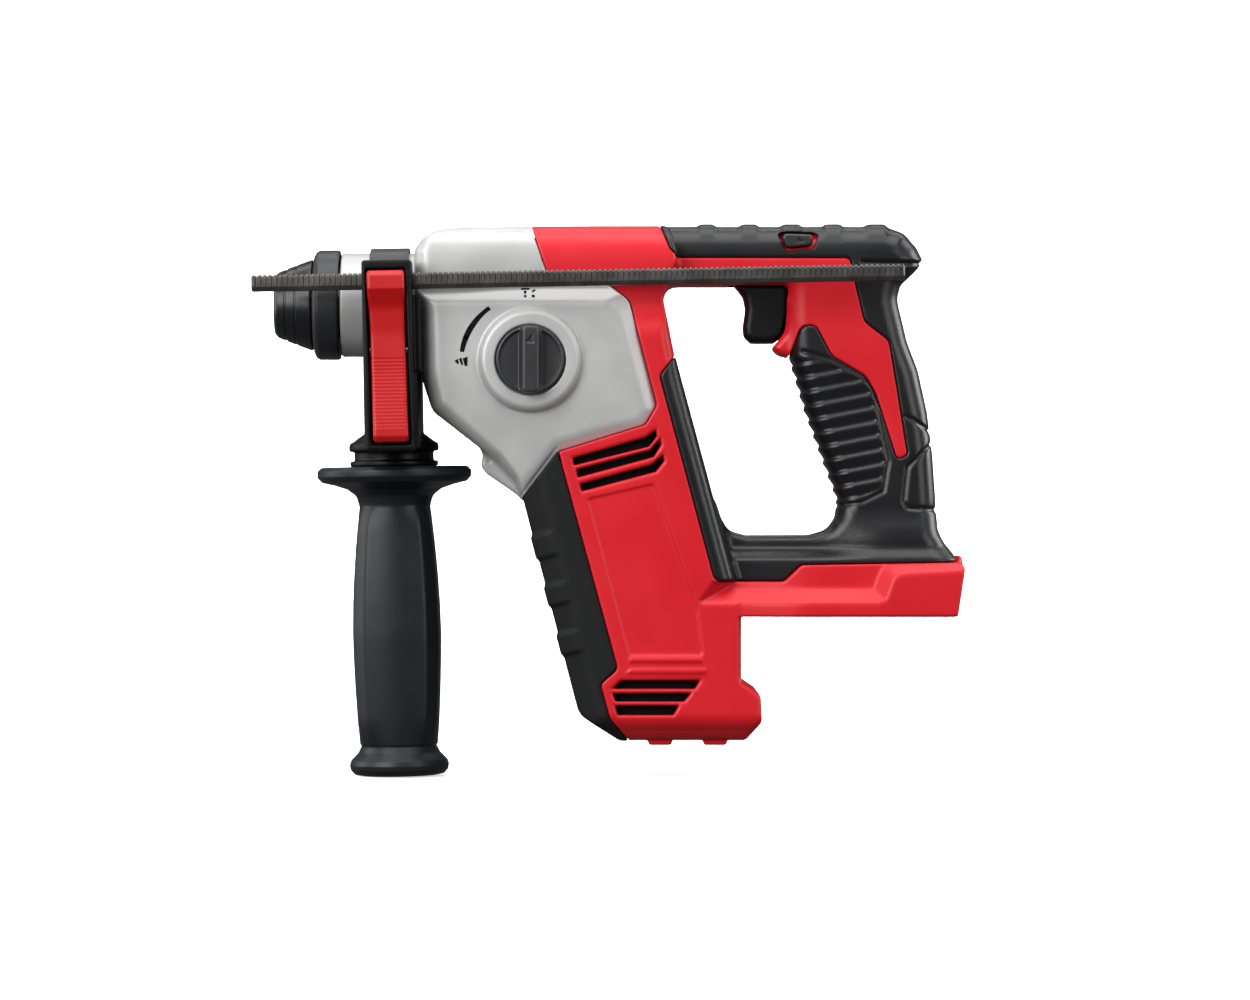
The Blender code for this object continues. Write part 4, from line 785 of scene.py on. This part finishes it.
HANDLE_MM = Matrix.Translation(SEAT) @ Matrix.Rotation(-TILT, 4, "Y")
GRIP_OUT = [(-67.0, 4.6, 0), (-67.0, 30.2, 0.8), (-68.6, 31.9, 1.2), (-71.2, 31.9, 1.2), (-73.3, 30.0, 1.0), (-74.6, 24.5, 3), (-76.2, 19.6, 3),
            (-79, 16.0, 3), (-83.3, 14.7, 4), (-92, 15.6, 8), (-101.0, 16.5, 10), (-112, 17.3, 10), (-123, 17.95, 10), (-136.4, 18.25, 10), (-148, 18.0, 10), (-159.6, 17.55, 10),
            (-172.9, 16.85, 8), (-181.9, 16.1, 0.4), (-182.3, 15.7, 0.2), (-182.9, 15.7, 0.2), (-183.3, 16.0, 0.4), (-185.3, 17.0, 2),
            (-188.4, 20.0, 1.5), (-190.4, 20.6, 1.2), (-192.4, 20.2, 1.0), (-194.2, 18.6, 1.0), (-194.8, 15.5, 0.6), (-194.2, 12.5, 0.5), (-193.6, 0, 0), (-120, 0, 0), (-118, 4.6, 0.5)]


def dense(profile, step):
    """Split the long runs of a profile, for a smooth faceted section."""
    out = []
    for (t0, r0), (t1, r1) in zip(profile, profile[1:] + profile[:1]):
        n = max(1, int(math.hypot(t1 - t0, r1 - r0) / step)) if min(r0, r1) > 5 else 1
        out += [(t0 + (t1 - t0) * i / n, r0 + (r1 - r0) * i / n) for i in range(n)]
    return out


side = lathe("side_grip_moulding", dense(fillet(GRIP_OUT, 4), 3.0), along_z, 160, 28, facets)

ROD = fillet([(-2.3, 3.35, 0.4), (-3.1, 2.6, 0.4), (-3.1, -1.5, 0.3), (-1.9, -3.35, 0.4), (1.9, -3.35, 0.4), (3.1, -1.5, 0.3), (3.1, 2.6, 0.4), (2.3, 3.35, 0.4)], 3)
x0, x1, pitch = -54.9, 210.7, 2.165
stations = [(x0, 0.0, 0.86), (x0 + 0.5, 0.0, 1.0), (x0 + 1.4, 0.0, 1.0)]
t = x0 + 1.9
while t < x1 - 3.0:
    stations += [(t, 1.0, 1.0), (t + 0.62, 1.0, 1.0), (t + 0.86, 0.0, 1.0), (t + pitch - 0.24, 0.0, 1.0)]
    t += pitch
stations += [(t, 1.0, 1.0), (t + 0.5, 1.0, 1.0), (t + 0.74, 0.0, 1.0), (x1 - 0.5, 0.0, 1.0), (x1, 0.0, 0.82)]


def notch(y, z, cut, k):
    """One point of the rod's section; the notches cross its front and top."""
    lower = float(ramp((z + 1.75) / 0.6))
    if y < -2.0:
        y += 0.85 * cut * lower
    if z > 2.0:
        z -= 0.45 * cut
    return y * k, z * k


verts, faces = [], []
for x, cut, k_ in stations:
    for y, z in ROD:
        y, z = notch(y, z, cut, k_)
        verts.append(HANDLE_MM @ Vector((x, -38.5 + y, 8.2 + z)))
n = len(ROD)
for i in range(len(stations) - 1):
    faces += [(i * n + j, i * n + (j + 1) % n, (i + 1) * n + (j + 1) % n, (i + 1) * n + j) for j in range(n)]
faces += [list(range(n)), list(range((len(stations) - 1) * n, len(stations) * n))[::-1]]
stop = mesh_of("depth_rod_toothed", verts, faces, 24)

# ------------------------------------------------------------------ chuck
CAP = [(-236.3, 6.2, 0.3), (-237.8, 6.4, 0.5), (-237.9, 12.0, 1.0), (-236.4, 13.6, 1.0), (-233.6, 14.7, 0), (-233.3, 14.5, 0), (-232.9, 14.6, 0), (-232.6, 15.15, 0),
       (-229.4, 16.35, 0), (-229.1, 16.2, 0), (-228.7, 16.35, 0), (-228.4, 16.75, 0), (-223.0, 18.7, 0.6), (-222.1, 18.7, 0.4), (-222.1, 11.4, 0.2), (-236.3, 11.4, 0.2)]
cap = lathe("nose_cap", fillet(CAP, 4), along_x, 128, 26)
SLEEVE = [(-221.5, 11.5, 0.2), (-221.5, 20.0, 1.0), (-220.6, 21.9, 1.4), (-219.2, 22.7, 1.2), (-213.4, 22.75, 0), (-211.4, 22.75, 0.5), (-210.8, 22.3, 0.3), (-210.8, 21.75, 0.1),
          (-219.2, 21.75, 0.2), (-219.2, 11.5, 0.2)]
collar = lathe("sleeve_shell", fillet(SLEEVE, 4), along_x, 128, 26)


# springs for the sleeve and the lever, wound at one fixed length; on the tool they close up as the sleeve is drawn
# back and the lever is pressed
def spring(name, at, length, r, wire, turns, steps=28, ring=8):
    """Wound wire; at maps (along, across, across) of the coil to a point."""
    verts, faces = [], []
    n = turns * steps
    for i in range(n + 1):
        a = 2 * math.pi * i / steps
        for j in range(ring):
            b = 2 * math.pi * j / ring
            out = r + wire * math.cos(b)
            verts.append(at(wire + (length - 2 * wire) * i / n + wire * math.sin(b), out * math.cos(a), out * math.sin(a)))
    for i in range(n):
        faces += [(i * ring + j, i * ring + (j + 1) % ring, (i + 1) * ring + (j + 1) % ring, (i + 1) * ring + j) for j in range(ring)]
    faces += [list(range(ring)), list(range(n * ring, (n + 1) * ring))[::-1]]
    return mesh_of(name, verts, faces)


sleeve_coil = spring("sleeve_coil", lambda s, y, z: (-218.9 + s, y, AXIS_Z + z), 9.0, 15.5, 0.6, 4)
lever_coil = spring("lever_coil", lambda s, x, z: HANDLE_MM @ Vector((0.5 + x, -38.2 - s, -45 + z)), 4.9, 2.6, 0.45, 3)


# near-black sheets behind the louvres: painted shade for the dark inside of the vents
def vent_shade_sheet(name, sign):
    verts, faces = [], []
    for group in ([(562, 450), (664, 420), (690, 440), (684, 478), (640, 500), (578, 508)], [(603, 676), (708, 676), (694, 690), (676, 722), (612, 722)]):
        n0 = len(verts)
        n = len(group)
        for y in (28.0, 26.8):
            verts += [(*xz(u, v, -28)[:1], sign * y, xz(u, v, -28)[1]) for u, v in group]
        faces += [[n0 + i for i in range(n)], [n0 + n + i for i in range(n)][::-1]]
        faces += [(n0 + i, n0 + n + i, n0 + n + (i + 1) % n, n0 + (i + 1) % n) for i in range(n)]
    return mesh_of(name, verts, faces, 30)


vent_shade_sheets = [vent_shade_sheet("vent_shade_sheet_left", -1), vent_shade_sheet("vent_shade_sheet_right", 1)]

# ------------------------------------------------------------------ materials
def finish_of(name, colour, rough, metal=0.0, mottle=0.05, mottle_scale=45.0, grain=0.1, grain_scale=2600.0, rough_spread=0.05,
              specular=0.5, coat=0.0, coat_rough=0.1, sheen=0.0, streak=None):
    """A moulded, cast or machined finish: slow colour drift, uneven gloss and
    a fine surface texture, all solid so that they need no unwrapping."""
    m = bpy.data.materials.new(name)
    m.use_nodes = True
    t = m.node_tree
    b = t.nodes["Principled BSDF"]
    b.inputs["Metallic"].default_value = metal
    b.inputs["Specular IOR Level"].default_value = specular
    b.inputs["Coat Weight"].default_value = coat
    b.inputs["Coat Roughness"].default_value = coat_rough
    b.inputs["Sheen Weight"].default_value = sheen
    at = t.nodes.new("ShaderNodeTexCoord")
    where = at.outputs["Object"]
    if streak:
        mp = t.nodes.new("ShaderNodeMapping")
        mp.inputs["Scale"].default_value = streak
        t.links.new(where, mp.inputs["Vector"])
        where = mp.outputs["Vector"]
    drift = t.nodes.new("ShaderNodeTexNoise")
    drift.inputs["Scale"].default_value = mottle_scale
    drift.inputs["Detail"].default_value = 4.0
    t.links.new(where, drift.inputs["Vector"])
    tone = t.nodes.new("ShaderNodeValToRGB")
    tone.color_ramp.elements[0].position = 0.3
    tone.color_ramp.elements[1].position = 0.7
    tone.color_ramp.elements[0].color = (*[c * (1 - mottle) for c in colour], 1)
    tone.color_ramp.elements[1].color = (*[min(1, c * (1 + mottle)) for c in colour], 1)
    t.links.new(drift.outputs["Fac"], tone.inputs["Fac"])
    t.links.new(tone.outputs["Color"], b.inputs["Base Color"])
    fine = t.nodes.new("ShaderNodeTexNoise")
    fine.inputs["Scale"].default_value = grain_scale
    fine.inputs["Detail"].default_value = 3.0
    t.links.new(where, fine.inputs["Vector"])
    gloss = t.nodes.new("ShaderNodeMapRange")
    gloss.inputs["From Min"].default_value = 0.3
    gloss.inputs["From Max"].default_value = 0.7
    gloss.inputs["To Min"].default_value = max(0.02, rough - rough_spread)
    gloss.inputs["To Max"].default_value = min(1, rough + rough_spread)
    t.links.new(drift.outputs["Fac"], gloss.inputs["Value"])
    t.links.new(gloss.outputs["Result"], b.inputs["Roughness"])
    if grain:
        bump = t.nodes.new("ShaderNodeBump")
        bump.inputs["Strength"].default_value = grain
        bump.inputs["Distance"].default_value = 0.0002
        t.links.new(fine.outputs["Fac"], bump.inputs["Height"])
        t.links.new(bump.outputs["Normal"], b.inputs["Normal"])
    return m


red_plastic = finish_of("red_moulded_plastic", (0.60, 0.0075, 0.016), 0.40, mottle=0.03, grain=0.10, grain_scale=1900, specular=0.36)
# the rod release lever's red is a darker copy of the housing red: painted shade standing in for the shade on the
# lever's concave face
shaded_lever_red = finish_of("red_lever_painted_shade", (0.44, 0.004, 0.005), 0.36, mottle=0.03, grain=0.06, grain_scale=1900, specular=0.38)
soft_touch = finish_of("soft_black_elastomer", (0.0065, 0.0068, 0.0080), 0.33, mottle=0.10, grain=0.30, grain_scale=1500, rough_spread=0.05, specular=0.44)
bumper_touch = finish_of("charcoal_elastomer", (0.0075, 0.0078, 0.0078), 0.60, mottle=0.08, grain=0.25, grain_scale=1500, specular=0.20)
nylon = finish_of("black_glass_nylon", (0.014, 0.0145, 0.017), 0.40, mottle=0.10, grain=0.12, grain_scale=2200, specular=0.5)
glossy = finish_of("black_control_plastic", (0.024, 0.024, 0.026), 0.36, mottle=0.10, grain=0.05, grain_scale=2400, specular=0.5)
pull_plastic = finish_of("black_trigger_plastic", (0.0035, 0.0035, 0.0045), 0.38, mottle=0.10, grain=0.05, grain_scale=2400, specular=0.28)
grip_nylon = finish_of("black_grip_moulding", (0.0085, 0.0095, 0.0135), 0.42, mottle=0.10, grain=0.14, grain_scale=1700, specular=0.34)
clamp_nylon = finish_of("black_clamp_moulding", (0.0035, 0.0035, 0.0042), 0.40, mottle=0.10, grain=0.12, grain_scale=2200, specular=0.16)
casting = finish_of("blasted_cast_aluminium", (0.46, 0.46, 0.458), 0.42, metal=0.28, mottle=0.05, mottle_scale=60, grain=0.20, grain_scale=1600, rough_spread=0.05)
bright = finish_of("turned_steel", (0.48, 0.47, 0.46), 0.30, metal=1.0, mottle=0.05, grain=0.05, grain_scale=1500)
blackened = finish_of("blackened_steel", (0.090, 0.086, 0.080), 0.40, metal=0.7, mottle=0.25, mottle_scale=160, grain=0.15, grain_scale=1500)
screw_steel = finish_of("black_oxide_screw", (0.05, 0.05, 0.05), 0.38, metal=0.9, mottle=0.15, grain=0.1)
copper = finish_of("wound_copper", (0.62, 0.26, 0.10), 0.35, metal=1.0, mottle=0.2, mottle_scale=300, grain=0.3, grain_scale=900)
brass = finish_of("contact_brass", (0.70, 0.52, 0.22), 0.28, metal=1.0, mottle=0.08, grain=0.08)
strap_steel = finish_of("dark_strap_steel", (0.040, 0.041, 0.045), 0.40, metal=0.35, mottle=0.12, grain=0.1)
printing = finish_of("black_ink", (0.004, 0.004, 0.004), 0.7, mottle=0.1, grain=0.05, specular=0.08)
# near-black colour of the sheets behind the louvres: painted shade inside the vents
vent_shade_black = finish_of("black_vent_painted_shade", (0.004, 0.004, 0.004), 0.8, mottle=0.2, grain=0.3, grain_scale=900, specular=0.1)
BY_SLOT = {"red_plastic": red_plastic, "soft_black": soft_touch, "black_nylon": nylon, "cast_aluminium": casting,
           "steel": bright, "dark_steel": screw_steel, "winding_copper": copper, "contact_brass": brass}


def dress(ob, mat, body, slot, *stands_for):
    ob.data.materials.clear()
    ob.data.materials.append(mat)
    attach(ob, body)
    if stands_for:
        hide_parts(*stands_for)


dress(left, red_plastic, "tool_body", RED, "housing_left")
dress(right, red_plastic, "tool_body", RED, "housing_right")
dress(grip_left, soft_touch, "tool_body", SOFT, "handle_overmold_left")
dress(grip_right, soft_touch, "tool_body", SOFT, "handle_overmold_right")
dress(bump_left, bumper_touch, "tool_body", SOFT, "front_bumper_left")
dress(bump_right, bumper_touch, "tool_body", SOFT, "front_bumper_right")
dress(cast, casting, "tool_body", CAST, "gear_case")
dress(ink, printing, "tool_body", NYLON)
dress(dial, glossy, "mode_knob", NYLON, "mode_knob")
dress(lever, pull_plastic, "trigger", NYLON, "trigger")
dress(shuttle, glossy, "shuttle", NYLON, "direction_shuttle")
dress(clamp, clamp_nylon, "side_handle", NYLON, "clamp_body")
dress(band, strap_steel, "band", DARK, "clamp_band")
dress(catch, shaded_lever_red, "rod_lever", RED, "rod_lever")
dress(side, grip_nylon, "side_grip", NYLON, "side_grip")
dress(stop, blackened, "depth_rod", DARK, "depth_rod")
dress(cap, soft_touch, "spindle", SOFT, "dust_cap")
dress(collar, nylon, "sleeve", NYLON, "chuck_sleeve")
for s in vent_shade_sheets:
    dress(s, vent_shade_black, "tool_body", NYLON)
dress(sleeve_coil, bright, "spindle", STEEL, "sleeve_spring")
dress(lever_coil, bright, "side_handle", STEEL, "lever_spring")
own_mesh(sleeve_coil)
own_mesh(lever_coil)
for name, ob in nodes.items():
    if not ob.hide_render:
        kind = ob.data.materials[0].name.split(".")[0] if ob.data.materials else "steel"
        for i in range(len(ob.data.materials)):
            ob.data.materials[i] = BY_SLOT.get(kind, bright)

# ------------------------------------------------------------------ studio
scene = bpy.context.scene
scene.view_settings.view_transform = "Standard"
scene.view_settings.look = "None"

FLOOR = -0.0696
rows = [(-2.6, FLOOR), (1.1, FLOOR)]
rows += [(1.1 + 0.6 * math.sin(a), FLOOR + 0.6 - 0.6 * math.cos(a)) for a in (math.radians(6 * i) for i in range(1, 16))]
rows += [(1.7, 2.6)]
verts, faces = [], []
for i, (y, z) in enumerate(rows):
    verts += [(-3.0, y, z), (3.0, y, z)]
    if i:
        faces.append((2 * i - 2, 2 * i - 1, 2 * i + 1, 2 * i))
me = bpy.data.meshes.new("studio_sweep")
me.from_pydata(verts, [], faces)
me.shade_smooth()
floor = bpy.data.objects.new("studio_sweep", me)
scene.collection.objects.link(floor)
paper = finish_of("white_paper", (0.92, 0.92, 0.92), 0.9, mottle=0.004, mottle_scale=3, grain=0.0, specular=0.1)
lit = paper.node_tree.nodes["Principled BSDF"].inputs
lit["Emission Color"].default_value = (1, 1, 1, 1)
lit["Emission Strength"].default_value = 0.6
me.materials.append(paper)

world = bpy.data.worlds.new("studio")
scene.world = world
world.use_nodes = True
world.node_tree.nodes["Background"].inputs["Color"].default_value = (1, 1, 1, 1)
world.node_tree.nodes["Background"].inputs["Strength"].default_value = 0.12


def softbox(name, at, to, size, power):
    li = bpy.data.lights.new(name, "AREA")
    li.shape = "RECTANGLE"
    li.size, li.size_y = size
    li.energy = power
    ob = bpy.data.objects.new(name, li)
    ob.location = at
    ob.rotation_euler = (Vector(to) - Vector(at)).to_track_quat("-Z", "Y").to_euler()
    scene.collection.objects.link(ob)


softbox("key_softbox", (-1.15, -1.35, 0.70), (-0.1, 0, 0.06), (1.3, 1.2), 32)
softbox("top_softbox", (-0.10, -0.32, 1.35), (-0.1, 0, 0.06), (1.7, 1.15), 22)
softbox("fill_softbox", (1.25, -1.45, 0.55), (-0.1, 0, 0.06), (0.9, 1.2), 11)
softbox("left_softbox", (-1.55, 0.20, 0.45), (-0.1, 0, 0.06), (1.0, 1.2), 10)
softbox("rim_softbox", (1.25, 0.25, 0.55), (0.0, 0, 0.06), (0.6, 1.0), 16)
softbox("backdrop_light", (0.0, 0.75, 1.3), (0, 1.7, 0.35), (2.6, 0.4), 40)

floor.visible_diffuse = False
floor.visible_glossy = False

cam = bpy.data.cameras.new("camera")
cam.sensor_width = 36.0
cam.lens = 36.0 * VIEW / (1250 * DU)
cam.clip_start, cam.clip_end = 0.05, 20
eye = bpy.data.objects.new("camera", cam)
eye.location = (-224.0 * DU * MM, -VIEW * MM, (115.0 * DU - 3.0) * MM)
eye.rotation_euler = (math.radians(90), 0, 0)
scene.collection.objects.link(eye)
scene.camera = eye
